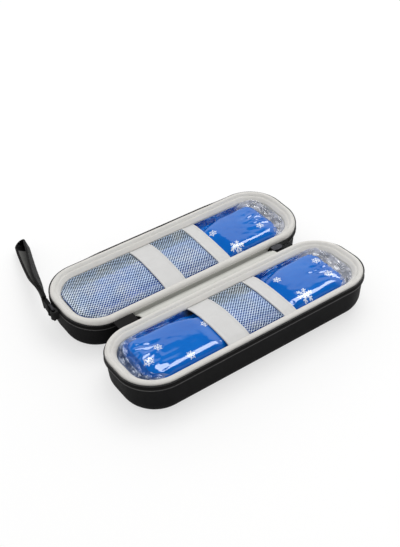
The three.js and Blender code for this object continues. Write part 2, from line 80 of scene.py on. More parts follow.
# Studio: a white table, a white backdrop behind it that ends a little above the camera's height, a broad soft lamp
# on the right and a long bright panel overhead that only draws the glints on the film.
class Wire:
    """An output in a node tree, or the bare tree. Arithmetic on it adds the Math nodes."""

    def __init__(self, tree, socket=None):
        self.tree = tree
        self.socket = socket

    def node(self, kind, settings=None, inputs=None, output=0):
        """Adds a node: its settings first, then the values or links of its sockets."""
        made = self.tree.nodes.new("ShaderNode" + kind)
        for name, value in (settings or {}).items():
            setattr(made, name, value)
        for name, value in (inputs or {}).items():
            if isinstance(value, Wire):
                self.tree.links.new(value.socket, made.inputs[name])
            else:
                made.inputs[name].default_value = value
        return Wire(self.tree, made.outputs[output])

    def other(self, output):
        """Another output of the same node."""
        return Wire(self.tree, self.socket.node.outputs[output])

    def parts(self):
        """The X, Y and Z of a vector."""
        split = self.node("SeparateXYZ", inputs={0: self})
        return split, split.other("Y"), split.other("Z")

    def into(self, shader, name):
        self.tree.links.new(self.socket, shader.inputs[name])

    def math(self, operation, *values):
        return self.node("Math", {"operation": operation}, dict(enumerate(values)))

    def __add__(self, value):
        return self.math("ADD", self, value)

    def __sub__(self, value):
        return self.math("SUBTRACT", self, value)

    def __mul__(self, value):
        return self.math("MULTIPLY", self, value)

    def __truediv__(self, value):
        return self.math("DIVIDE", self, value)

    def __rsub__(self, value):
        return self.math("SUBTRACT", value, self)

    def __lt__(self, value):
        return self.math("LESS_THAN", self, value)

    def __gt__(self, value):
        return self.math("GREATER_THAN", self, value)

    __radd__ = __add__
    __rmul__ = __mul__

    def between(self, low, high):
        """0 below low, 1 above high, eased between them."""
        limits = {"Value": self, "From Min": low, "From Max": high}
        return self.node("MapRange", {"interpolation_type": "SMOOTHSTEP"}, limits)

    def past(self, run):
        """0 before a run of millimetres starts, 1 after it ends, eased between them."""
        return self.between(run[0] * MM, run[1] * MM)

    def mixed(self, first, second):
        """Colour that goes from first to second as this value goes from 0 to 1."""
        return self.node("Mix", {"data_type": "RGBA"}, {0: self, 6: first, 7: second}, 2)


def paint(red, green, blue):
    """Colour as a painter's 0 to 255 values, turned into the linear ones that shaders take."""
    shares = np.array((red, green, blue)) / 255
    linear = np.where(shares <= 0.04045, shares / 12.92, ((shares + 0.055) / 1.055) ** 2.4)
    return (*(float(share) for share in linear), 1.0)


def finish(name, **constants):
    """A material, its tree to draw patterns in and its main shader, with the even values set on the shader itself."""
    material = bpy.data.materials.new(name)
    material.use_nodes = True
    shader = material.node_tree.nodes["Principled BSDF"]
    for socket, value in constants.items():
        shader.inputs[socket.replace("_", " ")].default_value = value
    return material, Wire(material.node_tree), shader


FLOOR_REACH = 6
FLOOR_WHITE = (0.96, 0.96, 0.955, 1)
FLOOR_HAZE = 0.62
BACKDROP_TOP = 0.66
BACKDROP_SOFTNESS = 0.02
BACKDROP_SIDES = (-0.1, 0.5)
BACKDROP_GLOW = 1.0
ROOM_GLOW = 0.76
ROOM_MIRRORED = 0.05
SOFT_LAMP = {"place": (0.5, 0.3, 1.4), "size": (1.1, 0.9), "power": 8.0}
GLINT_LAMP = {"place": (0.75, 0.15, 1.3), "size": (1.7, 0.95), "power": 50.0}

floor_mesh = bpy.data.meshes.new("floor")
floor_corners = [(-1, -1), (1, -1), (1, 1), (-1, 1)]
floor_mesh.from_pydata([(x * FLOOR_REACH, y * FLOOR_REACH, 0) for x, y in floor_corners], [], [(0, 1, 2, 3)])
floor = bpy.data.objects.new("floor", floor_mesh)
scene.collection.objects.link(floor)
white_table, tree, shader = finish("white_table", Roughness=0.9, Specular_IOR_Level=0.0, Base_Color=FLOOR_WHITE)
lit = Wire(tree.tree, shader.outputs[0])
haze = tree.node("Emission", inputs={"Color": (1, 1, 1, 1)})
seen = tree.node("LightPath", output="Is Camera Ray")
hazy = tree.node("MixShader", inputs={0: seen * FLOOR_HAZE, 1: lit, 2: haze})
hazy.into(white_table.node_tree.nodes["Material Output"], "Surface")
floor_mesh.materials.append(white_table)

world = bpy.data.worlds.new("studio")
world.use_nodes = True
scene.world = world
tree = Wire(world.node_tree)
aim_x, aim_y, aim_z = tree.node("TexCoord", output="Generated").parts()
behind = (aim_x * -backward.x + aim_y * -backward.y) / level
over_top = aim_z.between(BACKDROP_TOP - BACKDROP_SOFTNESS, BACKDROP_TOP + BACKDROP_SOFTNESS)
backdrop = behind.between(*BACKDROP_SIDES) * (1 - over_top)
seen = tree.node("LightPath", output="Is Camera Ray")
room = ROOM_GLOW - seen.other("Is Glossy Ray") * (ROOM_GLOW - ROOM_MIRRORED)
glow = room + backdrop * (BACKDROP_GLOW - room)
sky = world.node_tree.nodes["Background"]
tree.math("MAXIMUM", glow, seen).into(sky, "Strength")
sky.inputs["Color"].default_value = (1, 1, 1, 1)

for name, lamp in (("soft_lamp", SOFT_LAMP), ("glint_lamp", GLINT_LAMP)):
    light = bpy.data.lights.new(name, "AREA")
    light.shape = "RECTANGLE"
    light.size, light.size_y = lamp["size"]
    light.energy = lamp["power"]
    holder = bpy.data.objects.new(name, light)
    scene.collection.objects.link(holder)
    holder.location = lamp["place"]
    holder.visible_glossy = lamp is GLINT_LAMP
    holder.visible_diffuse = lamp is SOFT_LAMP
scene.view_settings.view_transform = "Standard"


# Shells: the two moulded halves, thick foam sheet under a fine black cloth, pressed to shape with a drafted wall and
# a large round at the bottom. Their mouths lean a little down to the fold. The lips carry the binding and the zip.
RIM_HALF_LENGTH = 105.5
RIM_HALF_WIDTH = 34.5
RIM_CORNER = 28.2
RIM_TOP = 31.5
LID_SHIFT = 80.1
SHELL_DRAFT = 2.1
SHELL_WALL = 4.0
SHELL_ROUND = 11.0
SHELL_LIP = 27.5
MOUTH_LEAN = math.radians(3)
RIM_STEPS = 264
CUP_FLOOR_RINGS = (0.0, 0.35, 0.7)
HALF_PLACE = {"base": (0, 0, 0), "lid": (0, LID_SHIFT, 0)}
HALVES = tuple(HALF_PLACE)

straight_x = RIM_HALF_LENGTH - RIM_CORNER
straight_y = RIM_HALF_WIDTH - RIM_CORNER


def rim_table(corner_steps=90):
    """Run, points and outward directions of the rim, from the middle of the fold side, anticlockwise."""
    quarter = np.linspace(0, math.pi / 2, corner_steps)
    places = [(np.array([[0.0, RIM_HALF_WIDTH]]), np.array([[0.0, 1.0]]))]
    for number, (sign_x, sign_y) in enumerate(((-1, 1), (-1, -1), (1, -1), (1, 1))):
        angles = quarter + math.pi / 2 * (number + 1)
        outward = np.stack((np.cos(angles), np.sin(angles)), 1)
        places.append((outward * RIM_CORNER + (sign_x * straight_x, sign_y * straight_y), outward))
    places.append(places[0])
    points = np.concatenate([place for place, _ in places])
    outwards = np.concatenate([outward for _, outward in places])
    run = np.concatenate(([0], np.cumsum(np.linalg.norm(np.diff(points, axis=0), axis=1))))
    return run, points, outwards


rim_run, rim_points, rim_outwards = rim_table()
RIM_AROUND = rim_run[-1]


def along_rim(run, offset, height):
    """Points at distances along the rim, moved outwards by an offset and put at a height."""
    run, offset, height = np.broadcast_arrays(run, offset, height)
    point = [np.interp(run, rim_run, rim_points[:, axis]) for axis in (0, 1)]
    outward = [np.interp(run, rim_run, rim_outwards[:, axis]) for axis in (0, 1)]
    size = np.hypot(*outward)
    return np.stack([point[0] + offset * outward[0] / size, point[1] + offset * outward[1] / size, height], -1)


def smooth_step(value, low, high):
    """0 below low, 1 above high, eased between them."""
    share = np.clip((value - low) / (high - low), 0, 1)
    return share * share * (3 - 2 * share)


def on_half(points, half):
    """Points of a half drawn with its fold side towards +Y, brought to where that half lies."""
    if half == "base":
        return points
    return points * (-1, -1, 1) + HALF_PLACE[half]


def cloth_mesh(name, points, wrap_run=False, wrap_rise=False, capped=False):
    """Mesh over a grid of points in millimetres, with a map of true lengths for the weave of its cloth."""
    rise, run = points.shape[:2]
    rows = rise if wrap_rise else rise - 1
    columns = run if wrap_run else run - 1
    numbers = np.arange(rise * run).reshape(rise, run)
    across = np.concatenate((numbers, numbers[:1]))[: rows + 1]
    both = np.concatenate((across, across[:, :1]), 1)[:, : columns + 1]
    quads = np.stack((both[:-1, :-1], both[:-1, 1:], both[1:, 1:], both[1:, :-1]), -1).reshape(-1, 4)
    faces = [tuple(int(corner) for corner in quad) for quad in quads]
    if capped:
        faces.append(tuple(int(number) for number in numbers[:, 0]))
        faces.append(tuple(int(number) for number in numbers[::-1, -1]))
    mesh = bpy.data.meshes.new(name)
    mesh.from_pydata(points.reshape(-1, 3) * MM, [], faces)
    longest = np.argmax(np.linalg.norm(np.diff(points, axis=1), axis=2).sum(1))
    steps_run = np.linalg.norm(np.roll(points[longest], -1, 0) - points[longest], axis=1)[:columns]
    steps_rise = np.linalg.norm(np.roll(points[:, 0], -1, 0) - points[:, 0], axis=1)[:rows]
    far_run = np.concatenate(([0], np.cumsum(steps_run))) * MM
    far_rise = np.concatenate(([0], np.cumsum(steps_rise))) * MM
    row, column = np.divmod(np.arange(rows * columns), columns)
    corners = [(row, column), (row, column + 1), (row + 1, column + 1), (row + 1, column)]
    lengths = np.stack([np.stack((far_run[c], far_rise[r]), -1) for r, c in corners], 1).reshape(-1, 2)
    flat = np.zeros((len(mesh.loops), 2), np.float32)
    flat[: len(lengths)] = lengths
    mesh.uv_layers.new(name="cloth").data.foreach_set("uv", flat.ravel())
    tidy(mesh)
    return mesh


def tidy(mesh):
    """Welds points that meet, turns every face outwards and shades smooth."""
    work = bmesh.new()
    work.from_mesh(mesh)
    bmesh.ops.remove_doubles(work, verts=work.verts, dist=2e-6)
    bmesh.ops.recalc_face_normals(work, faces=work.faces)
    work.to_mesh(mesh)
    work.free()
    mesh.shade_smooth()


def lean(mesh, half):
    """Lowers a half towards the fold and raises it on the other side, in proportion to the height."""
    places = np.empty(3 * len(mesh.vertices), np.float32)
    mesh.vertices.foreach_get("co", places)
    places = places.reshape(-1, 3)
    to_fold = places[:, 1] if half == "base" else LID_SHIFT * MM - places[:, 1]
    places[:, 2] *= 1 - math.tan(MOUTH_LEAN) * to_fold / (RIM_TOP * MM)
    mesh.vertices.foreach_set("co", places.ravel())
    mesh.update()


def piece(name, mesh, material, body=None):
    """A finished mesh as a piece of the case, riding on a body where one is given."""
    made = bpy.data.objects.new(name, mesh)
    scene.collection.objects.link(made)
    mesh.materials.append(material)
    if body in HALVES:
        lean(mesh, body)
    if body:
        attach(made, body)
    return made


def wall(height):
    """How far the drafted wall stands outside the rim's outline at a height."""
    return -SHELL_DRAFT * (1 - height / RIM_TOP)


def cup_profile(inset, bottom, round_size, lip, steps=9):
    """Offsets and heights up a cup's side, from the edge of its bottom to its lip."""
    angles = np.linspace(0, math.pi / 2, steps)
    foot = wall(bottom + round_size) - inset
    offsets = foot - round_size * (1 - np.sin(angles))
    heights = bottom + round_size * (1 - np.cos(angles))
    rising = np.linspace(bottom + round_size, lip, 5)[1:]
    return np.concatenate((offsets, wall(rising) - inset)), np.concatenate((heights, rising))


def cup_points(outside, inside):
    """Grid over both faces of a cup, with its two floors drawn together at the middle."""
    around = np.linspace(0, RIM_AROUND, RIM_STEPS, endpoint=False)
    rows = [along_rim(around, offset, height) for offset, height in zip(*outside)]
    rows += [along_rim(around, offset, height) for offset, height in zip(inside[0][::-1], inside[1][::-1])]
    shrink = np.array(CUP_FLOOR_RINGS)[:, None, None]
    flat = np.array((1, 1, 0))
    under = rows[0][None] * (flat * shrink + (1 - flat))
    over = rows[-1][None] * (flat * shrink[::-1] + (1 - flat))
    return np.concatenate((under, rows, over))


def cloth_lengths(tree):
    """True lengths along and across a piece of cloth, in metres."""
    return tree.node("UVMap", {"uv_map": "cloth"}).parts()


def case_place(tree):
    """Where a point lies on the opened case, in metres."""
    return tree.node("TexCoord", output="Object").parts()


def weave(tree, pitch, stretch=1.0):
    """Height of a plain weave, 0 to 1, laid along the cloth's own lengths."""
    run, rise, _ = cloth_lengths(tree)
    warp = tree.math("SINE", run * (2 * math.pi / (pitch * MM)))
    weft = tree.math("SINE", rise * (2 * math.pi / (pitch * stretch * MM)))
    return 0.5 + warp * weft * 0.5


def mottle(tree, size, detail=3.0):
    """Soft cloudy noise, 0 to 1, with clouds of a size in millimetres."""
    place = tree.node("TexCoord", output="Object")
    return tree.node("TexNoise", inputs={"Vector": place, "Scale": 1 / (size * MM), "Detail": detail})


def raised(tree, height, shader, depth, strength=0.6):
    """Relief of a depth in millimetres."""
    relief = {"Height": height, "Distance": depth * MM, "Strength": strength}
    tree.node("Bump", inputs=relief).into(shader, "Normal")


black_skin, tree, shader = finish("black_skin", Specular_IOR_Level=0.06, Sheen_Weight=0.01, Sheen_Roughness=0.5)
threads = weave(tree, 0.9)
clouds = mottle(tree, 14)
(clouds * 0.5 + threads * 0.5).mixed(paint(12, 12, 13), paint(23, 23, 24)).into(shader, "Base Color")
(0.66 - clouds * 0.14).into(shader, "Roughness")
raised(tree, threads * 0.8 + mottle(tree, 1.2) * 0.4, shader, 0.08)

shell_outside = cup_profile(0, 0, SHELL_ROUND, SHELL_LIP)
shell_inside = cup_profile(SHELL_WALL, SHELL_WALL, SHELL_ROUND - SHELL_WALL, SHELL_LIP)
for half in HALVES:
    points = on_half(cup_points(shell_outside, shell_inside), half)
    mesh = cloth_mesh(half + "_shell", points, wrap_run=True)
    shell = piece(half + "_shell_skin", mesh, black_skin, half)
    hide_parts(half + "_shell")

# Liners: a foam cup in each half that keeps the cold in, faced with pale grey brushed cloth and glued into the shell.
# Only its wall above the pack shows.
SEAT = 0.3
CAVITY_INSET = 8.2
CAVITY_FLOOR = 9.0
CAVITY_ROUND = 5.0
LINER_LIP = 26.2

liner_cloth, tree, shader = finish("liner_cloth", Specular_IOR_Level=0.15, Sheen_Weight=0.1)
pile = mottle(tree, 0.7)
pile.mixed(paint(176, 178, 173), paint(203, 204, 199)).into(shader, "Base Color")
(0.82 + pile * 0.1).into(shader, "Roughness")
raised(tree, pile, shader, 0.12)

liner_outside = cup_profile(SHELL_WALL + SEAT, SHELL_WALL + SEAT, SHELL_ROUND - SHELL_WALL - SEAT, LINER_LIP)
liner_inside = cup_profile(CAVITY_INSET, CAVITY_FLOOR, CAVITY_ROUND, LINER_LIP)
for half in HALVES:
    points = on_half(cup_points(liner_outside, liner_inside), half)
    mesh = cloth_mesh(half + "_lining", points, wrap_run=True)
    liner = piece(half + "_lining", mesh, liner_cloth, half)
    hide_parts(half + "_liner")

# Bindings: a strip of pale grey knitted cloth rolled over the lips of shell and liner, with a seam that divides the
# round outer roll from a lower inner strip. A row of lockstitches lies in the seam.
BINDING_PROFILE = (
    (-0.2, 27.8, 0), (-0.2, 27.7, 1), (-0.02, 27.7, 1), (-0.02, 28.1, 0.5), (-0.25, 29.1, 0), (-0.5, 30.0, 0),
    (-1.0, 30.8, 0), (-1.7, 31.3, 0), (-2.5, 31.5, 0), (-3.3, 31.42, 0), (-4.0, 31.0, 0), (-4.6, 30.2, 0),
    (-5.0, 29.7, 0), (-5.5, 29.7, 0), (-6.2, 29.3, 0), (-6.9, 28.5, 0), (-7.6, 27.65, 0), (-8.2, 26.95, 0),
    (-8.48, 26.55, 0), (-8.3, 26.3, 0), (-7.6, 26.25, 0), (-4.4, 27.6, 0),
)
HINGE_TUCK = 2.6
TUCK_RUN = (84, 122)
PUCKER_DEPTH = 0.16
PUCKER_FROM = 28.5
PUCKER_RISE = 2.0
STRIP_PUCKER = 1.4
LONG_PUCKERS = (0.09, 0.09, 0.15)
SHORT_PUCKERS = (0.3, 0.3, 0.2)
ROLL_SLACK = 0.05
SEAM_OFFSET = -4.9
SEAM_HEIGHT = 29.9
STITCH_PITCH = 3.0
STITCH_LENGTH = 1.9
STITCH_RADIUS = 0.15
STITCH_AIM_STEP = 0.5

grey_binding, tree, shader = finish("grey_binding", Specular_IOR_Level=0.2, Sheen_Weight=0.12, Sheen_Roughness=0.4)
knit = weave(tree, 0.7, 1.3)
clouds = mottle(tree, 9)
(clouds * 0.6 + knit * 0.4).mixed(paint(200, 198, 193), paint(219, 217, 213)).into(shader, "Base Color")
(0.78 + knit * 0.12).into(shader, "Roughness")
raised(tree, knit * 0.7 + mottle(tree, 2.5) * 0.6, shader, 0.1)

stitch_thread, tree, shader = finish("stitch_thread", Specular_IOR_Level=0.3)
mottle(tree, 0.5).mixed(paint(186, 186, 180), paint(216, 216, 212)).into(shader, "Base Color")
(0.55 + mottle(tree, 0.4) * 0.2).into(shader, "Roughness")


def tucked(run):
    """How far the zip and the binding's hem run down the wall as they near the hinge, in millimetres."""
    return HINGE_TUCK * (1 - smooth_step(np.minimum(run, RIM_AROUND - run), *TUCK_RUN))


def puckers(points, seed):
    """Small uneven swells along sewn cloth, -1 to 1."""
    swell = np.empty(points.shape[:2])
    for i, j in np.ndindex(*swell.shape):
        swell[i, j] = noise.noise(Vector(points[i, j] * LONG_PUCKERS + (seed, 0, 0)))
        swell[i, j] += 0.5 * noise.noise(Vector(points[i, j] * SHORT_PUCKERS + (0, seed, 0)))
    return swell


def capsules(name, centres, lengthwise, upward_dir, length, radius, sides=6):
    """Rounded stitches lying along a row of directions, as one mesh."""
    rings = np.array([(-0.5, 0.15), (-0.42, 0.75), (-0.15, 1), (0.15, 1), (0.42, 0.75), (0.5, 0.15)])
    angles = np.linspace(0, 2 * math.pi, sides, endpoint=False)
    crosswise = np.cross(upward_dir, lengthwise)
    points, faces = [], []
    for number, centre in enumerate(centres):
        start = number * len(rings) * sides
        for place, share in rings:
            middle = centre + lengthwise[number] * place * length
            circle = np.cos(angles)[:, None] * crosswise[number] + np.sin(angles)[:, None] * upward_dir[number]
            points.append(middle + circle * radius * share)
        for i in range(len(rings) - 1):
            for j in range(sides):
                near = start + i * sides
                side = (j + 1) % sides
                faces.append((near + j, near + side, near + sides + side, near + sides + j))
        last = start + (len(rings) - 1) * sides
        faces.append(tuple(start + j for j in reversed(range(sides))))
        faces.append(tuple(last + j for j in range(sides)))
    mesh = bpy.data.meshes.new(name)
    mesh.from_pydata(np.concatenate(points) * MM, [], faces)
    mesh.shade_smooth()
    return mesh


around = np.linspace(0, RIM_AROUND, RIM_STEPS, endpoint=False)
profile = np.array(BINDING_PROFILE)
stitches = np.arange(0, RIM_AROUND - STITCH_PITCH / 2, RIM_AROUND / round(RIM_AROUND / STITCH_PITCH))
for seed, half in enumerate(HALVES):
    rows = np.stack([along_rim(around, offset, height - hem * tucked(around)) for offset, height, hem in profile])
    swell = puckers(rows, seed * 7.3)
    on_top = np.clip((profile[:, 1] - PUCKER_FROM) / PUCKER_RISE, 0, 1)
    on_top *= np.where(profile[:, 0] > SEAM_OFFSET, 1, STRIP_PUCKER)
    highest = RIM_TOP + ROLL_SLACK
    rows[:, :, 2] += np.minimum(PUCKER_DEPTH * swell * on_top[:, None], highest - rows[:, :, 2])
    mesh = cloth_mesh(half + "_binding", on_half(rows, half), wrap_run=True, wrap_rise=True)
    binding = piece(half + "_binding", mesh, grey_binding, half)
    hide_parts(half + "_rim_binding")
    centres = on_half(along_rim(stitches, SEAM_OFFSET, SEAM_HEIGHT), half)
    ahead = on_half(along_rim(stitches + STITCH_AIM_STEP, SEAM_OFFSET, SEAM_HEIGHT), half) - centres
    ahead /= np.linalg.norm(ahead, axis=1)[:, None]
    upright = np.tile((0.0, 0.0, 1.0), (len(centres), 1))
    row = capsules(half + "_binding_stitches", centres, ahead, upright, STITCH_LENGTH, STITCH_RADIUS)
    piece(half + "_binding_stitches", row, stitch_thread, half)

# Zip tapes: a black woven tape round three sides of each half, sewn to the outside of the shell just under the
# binding. Its lower edge is folded to a thin bead, and beside the hinge it runs a little down the wall.
ZIP_END = 63.5
ZIP_FLARE = 0.8
FLARE_RUN = (48, 66)
TAPE_STEPS = 210
TAPE_PROFILE = (
    (0.05, 28.7), (0.45, 28.7), (0.6, 28.5), (0.6, 26.3), (0.62, 26.1), (0.8, 25.9), (0.86, 25.65), (0.78, 25.42),
    (0.5, 25.35), (0.05, 25.45),
)
TAPE_BEAD = (4, 7)

zip_cloth, tree, shader = finish("zip_cloth", Specular_IOR_Level=0.08, Sheen_Weight=0.02)
ribs = weave(tree, 0.8, 0.6)
ribs.mixed(paint(10, 10, 10), paint(23, 22, 22)).into(shader, "Base Color")
(0.6 + mottle(tree, 3) * 0.2).into(shader, "Roughness")
raised(tree, ribs, shader, 0.12)


def zip_rows(run, half, profile):
    """Rows of points along the zip. On the lid's far side, where nothing pulls it straight, it stands off a little."""
    off = ZIP_FLARE * (1 - smooth_step(np.abs(run - RIM_AROUND / 2), *FLARE_RUN)) * (half == "lid")
    return np.stack([along_rim(run, offset + off, height - tucked(run)) for offset, height in profile])


# Painted highlight: the folded bead along the black tape's lower edge is coloured light grey.
tape_bead_highlight, tree, shader = finish("tape_bead_highlight", Specular_IOR_Level=0.5)
mottle(tree, 2.5).mixed(paint(46, 46, 46), paint(74, 73, 72)).into(shader, "Base Color")
(0.4 + mottle(tree, 1.5) * 0.2).into(shader, "Roughness")

zip_run = np.linspace(ZIP_END, RIM_AROUND - ZIP_END, TAPE_STEPS)
for half in HALVES:
    points = on_half(zip_rows(zip_run, half, TAPE_PROFILE), half)
    mesh = cloth_mesh(half + "_zip_tape", points, wrap_rise=True, capped=True)
    tape = piece(half + "_zip_band", mesh, zip_cloth, half)
    mesh.materials.append(tape_bead_highlight)
    bead_start, bead_end = (row * (TAPE_STEPS - 1) for row in TAPE_BEAD)
    for face in mesh.polygons[bead_start:bead_end]:
        face.material_index = 1
    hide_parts(half + "_zip_tape")

# Zip teeth: a black nylon coil sewn along each tape's upper edge, a fine row of loops that turns with the rim.
# With the case open it meshes with nothing.
COIL_PITCH = 1.2
COIL_PITCH_STEPS = 4
COIL_SIDES = 10
COIL_MIDDLE = (0.32, 29.5)
COIL_SIZE = (0.3, 0.7)
COIL_GROOVE = 0.13

zip_nylon, tree, shader = finish("zip_nylon", Specular_IOR_Level=0.3)
mottle(tree, 4).mixed(paint(14, 14, 15), paint(30, 30, 31)).into(shader, "Base Color")
(0.4 + mottle(tree, 1.5) * 0.2).into(shader, "Roughness")

coil_run = np.arange(ZIP_END, RIM_AROUND - ZIP_END, COIL_PITCH / COIL_PITCH_STEPS)
loops = 1 + COIL_GROOVE * np.cos(2 * math.pi * coil_run / COIL_PITCH)
turns = np.linspace(0, 2 * math.pi, COIL_SIDES, endpoint=False)
ring = [
    (COIL_MIDDLE[0] + COIL_SIZE[0] * math.cos(turn) * loops, COIL_MIDDLE[1] + COIL_SIZE[1] * math.sin(turn) * loops)
    for turn in turns
]
for half in HALVES:
    points = on_half(zip_rows(coil_run, half, ring), half)
    mesh = cloth_mesh(half + "_zip_coil", points, wrap_rise=True, capped=True)
    row = piece(half + "_zip_coil", mesh, zip_nylon, half)
    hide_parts(half + "_zip_teeth")

# Cloth hinge: a pale grey lining over a black spine cloth, sewn under both bindings along the middle of the fold.
# The lining is slack: it sinks from the base's rim to a crease and turns up the lid's wall.
HINGE_HALF = 62.0
HINGE_STEPS = 90
HINGE_WAVE = 0.3
WAVE_PACE = (0.05, 0.25)
HINGE_LINING = (
    (33.4, 29.0), (34.3, 29.15), (35.2, 29.0), (36.2, 28.75), (37.2, 28.3), (38.2, 27.9), (39.2, 27.3), (40.2, 26.4),
    (41.2, 25.8), (42.2, 25.3), (43.2, 24.5), (44.0, 23.4), (44.5, 22.9), (44.9, 23.3), (45.2, 24.6), (45.3, 26.4),
)
LINING_THICKNESS = 0.6
LINING_WIDTH = 16.6
HINGE_SPINE = (
    (34.7, 27.4), (36.0, 27.5), (37.6, 27.2), (39.2, 26.5), (40.8, 25.4), (42.2, 24.7), (42.9, 24.1), (43.5, 23.3),
    (44.4, 22.2), (45.3, 22.4),
)
SPINE_THICKNESS = 0.6
SPINE_WIDTH = 12.2
FOLD_SHADE_RUN = (3, 12.5)
CREASE_NEAREST = 5.2
CREASE_WANDER = 4
CREASE_WIDTH = (0.2, 0.7)


def sewn_sheet(section, thickness, seed):
    """A cloth strip along the fold, with slow waves along its length."""
    section = np.array(section)
    fine = np.linspace(0, len(section) - 1, 3 * len(section))
    y, z = (np.interp(fine, np.arange(len(section)), section[:, axis]) for axis in (0, 1))
    x = np.linspace(-HINGE_HALF, HINGE_HALF, HINGE_STEPS)
    top = np.stack(np.broadcast_arrays(x[None, :], y[:, None], z[:, None]), -1).copy()
    free = np.sin(np.linspace(0, math.pi, len(fine)))
    for i, j in np.ndindex(*top.shape[:2]):
        place = Vector((*(top[i, j, :2] * WAVE_PACE), seed))
        top[i, j, 2] += HINGE_WAVE * free[i] * noise.noise(place)
    ahead = np.stack((np.gradient(y), np.gradient(z)), 1)
    ahead /= np.linalg.norm(ahead, axis=1)[:, None]
    under = top.copy()
    under[:, :, 1] += thickness * ahead[:, 1:]
    under[:, :, 2] -= thickness * ahead[:, :1]
    return np.concatenate((top, under[::-1]))


hinge_cloth, tree, shader = finish("hinge_cloth", Specular_IOR_Level=0.15, Sheen_Weight=0.1)
knit = weave(tree, 0.7, 1.3)
clouds = mottle(tree, 11)
run, rise, _ = cloth_lengths(tree)
# Painted shade: the lining's colour darkens towards the crease, and a thin line along a wandering crease is painted
# darker still.
wander = tree.node("TexNoise", {"noise_dimensions": "1D"}, {"W": run, "Scale": 28.0, "Detail": 1.0})
from_crease = tree.math("ABSOLUTE", rise - (wander * CREASE_WANDER + CREASE_NEAREST) * MM)
crease_shade = 1 - from_crease.past(CREASE_WIDTH)
print_wear_and_fold_shade = rise.past(FOLD_SHADE_RUN) * 0.62 + crease_shade * 0.3
unshaded_cloth = (clouds * 0.6 + knit * 0.4).mixed(paint(186, 186, 180), paint(210, 210, 204))
print_wear_and_fold_shade.mixed(unshaded_cloth, paint(140, 140, 135)).into(shader, "Base Color")
(0.8 + knit * 0.1).into(shader, "Roughness")
raised(tree, knit, shader, 0.1)

spine_cloth, tree, shader = finish("spine_cloth", Specular_IOR_Level=0.25)
threads = weave(tree, 1.0)
threads.mixed(paint(16, 16, 16), paint(34, 33, 33)).into(shader, "Base Color")
(0.65 + mottle(tree, 6) * 0.2).into(shader, "Roughness")
raised(tree, threads, shader, 0.12)

for name, section, thickness, width, material, slot, nodes in (
    ("hinge_lining", HINGE_LINING, LINING_THICKNESS, LINING_WIDTH, hinge_cloth, "grey_cloth",
     ("base_hinge_leaf", "lid_hinge_leaf")),
    ("hinge_spine", HINGE_SPINE, SPINE_THICKNESS, SPINE_WIDTH, spine_cloth, "black_cloth",
     ("base_spine_leaf", "lid_spine_leaf")),
):
    points = sewn_sheet(section, thickness, len(section))
    cloth = piece(name, cloth_mesh(name, points, wrap_rise=True, capped=True), material)
    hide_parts(*nodes)
    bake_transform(cloth)
    width * MM

# Zip ends: the tape runs on past the hinge's ends and lies flat across the fold. The right one carries the slider,
# a dark cast metal body with a bail, and its hanging pull.
SLIDER_EDGE = 0.18
EDGE_ANGLE = math.radians(35)

gunmetal, tree, shader = finish("gunmetal", Metallic=1.0)
scuffs = mottle(tree, 2.0, 5.0)
scuffs.mixed(paint(42, 42, 45), paint(66, 66, 70)).into(shader, "Base Color")
(0.28 + scuffs * 0.22).into(shader, "Roughness")


def dressed(node, material):
    """A node of the frame that keeps its shape and gets its finish."""
    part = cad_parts[node]
    part.data.materials.clear()
    part.data.materials.append(material)
    return part


def softened(node, material, radius):
    """Gives a rigid node its finish and rounds its edges."""
    part = dressed(node, material)
    edge = part.modifiers.new("rounded_edges", "BEVEL")
    edge.width = radius * MM
    edge.segments = 2
    edge.limit_method = "ANGLE"
    edge.angle_limit = EDGE_ANGLE


for node in ("zip_tail_left", "zip_tail_right"):
    dressed(node, zip_cloth)
for node in ("zip_slider", "zip_pull"):
    softened(node, gunmetal, SLIDER_EDGE)

# Gel packs: a blue gel pouch in each half, printed with white snow crystals under a clear glossy film. It is filled
# loosely, so it swells between the bands and sinks along its far side. Its clear sealed edge is crumpled up against
# the cavity's wall.
PACK_HALF_LENGTH = 90.0
PACK_SHIFT = -1.0
PACK_HALF_WIDTH = 25.3
PACK_CORNER = 12.0
PACK_BOTTOM = 9.3
PACK_TOP = 28.4
PACK_CROWN = 3.0
BAND_CROWN = {"base": (2.8, 1.8), "lid": (2.5, 1.1)}
ARCH_POWER = 1.8
PACK_SEAM = 17.4
PACK_RIDGE = 4.0
PACK_MIDDLE = 64.0
MIDDLE_SHARE = 0.8
WIDE_BAND = (-28.25, -9.55)
NARROW_BAND = (21.65, 32.95)
WINDOW_SWELL = 0.9
WINDOW_FLATTER = 0.55
WINDOW_RAMP = 8.0
WINDOW_UNDER_BAND = 1.0
LID_WINDOW_TILT = 0.075
SHOULDER = 4.5
END_SHOULDER = 5.0
NEAR_SHOULDER = {"base": 5.0, "lid": 3.0}
NET_TROUGH = 4.6
WINDOW_TROUGH = 4.0
TROUGH_RUN = (11, 18)
TROUGH_RAMP = 24.0
WINDOW_TROUGH_BACK = 6.0
END_TROUGH_LESS = 0.8
END_RUN = (72.0, 84.0)
SLACK_RUN = (56, 84)
TAUT_FOLDS = 0.25
SLACK_FOLDS = 0.9
GATHER_TOP = 0.45
GATHER_DEPTH = 1.7
GATHER_PACE = (0.11, 0.22)
DENT_DEPTH = 0.7
DENT_PACE = (0.035, 0.06)
FOLD_DEPTH = 0.8
FOLD_PACE = (0.11, 0.2)
CREASE_DEPTH = 0.25
CREASE_PACE = (0.3, 0.35)
FOLD_LEVEL = 0.3
PACK_STEPS = 240
PACK_RINGS = np.concatenate((np.linspace(0, 0.7, 12), np.linspace(0.73, 1, 22)))
FAR_STRIP = (10, 15)
LARGE_FLAKE = 5.0
LARGE_CRYSTAL = {"arm": 0.08, "twig": 0.065, "twigs": ((0.36, 0.2), (0.64, 0.26))}
SMALL_CRYSTAL = {"arm": 0.085, "twig": 0.07, "twigs": ((0.5, 0.32),)}
TWIG_AIM = (0.866, 0.5)
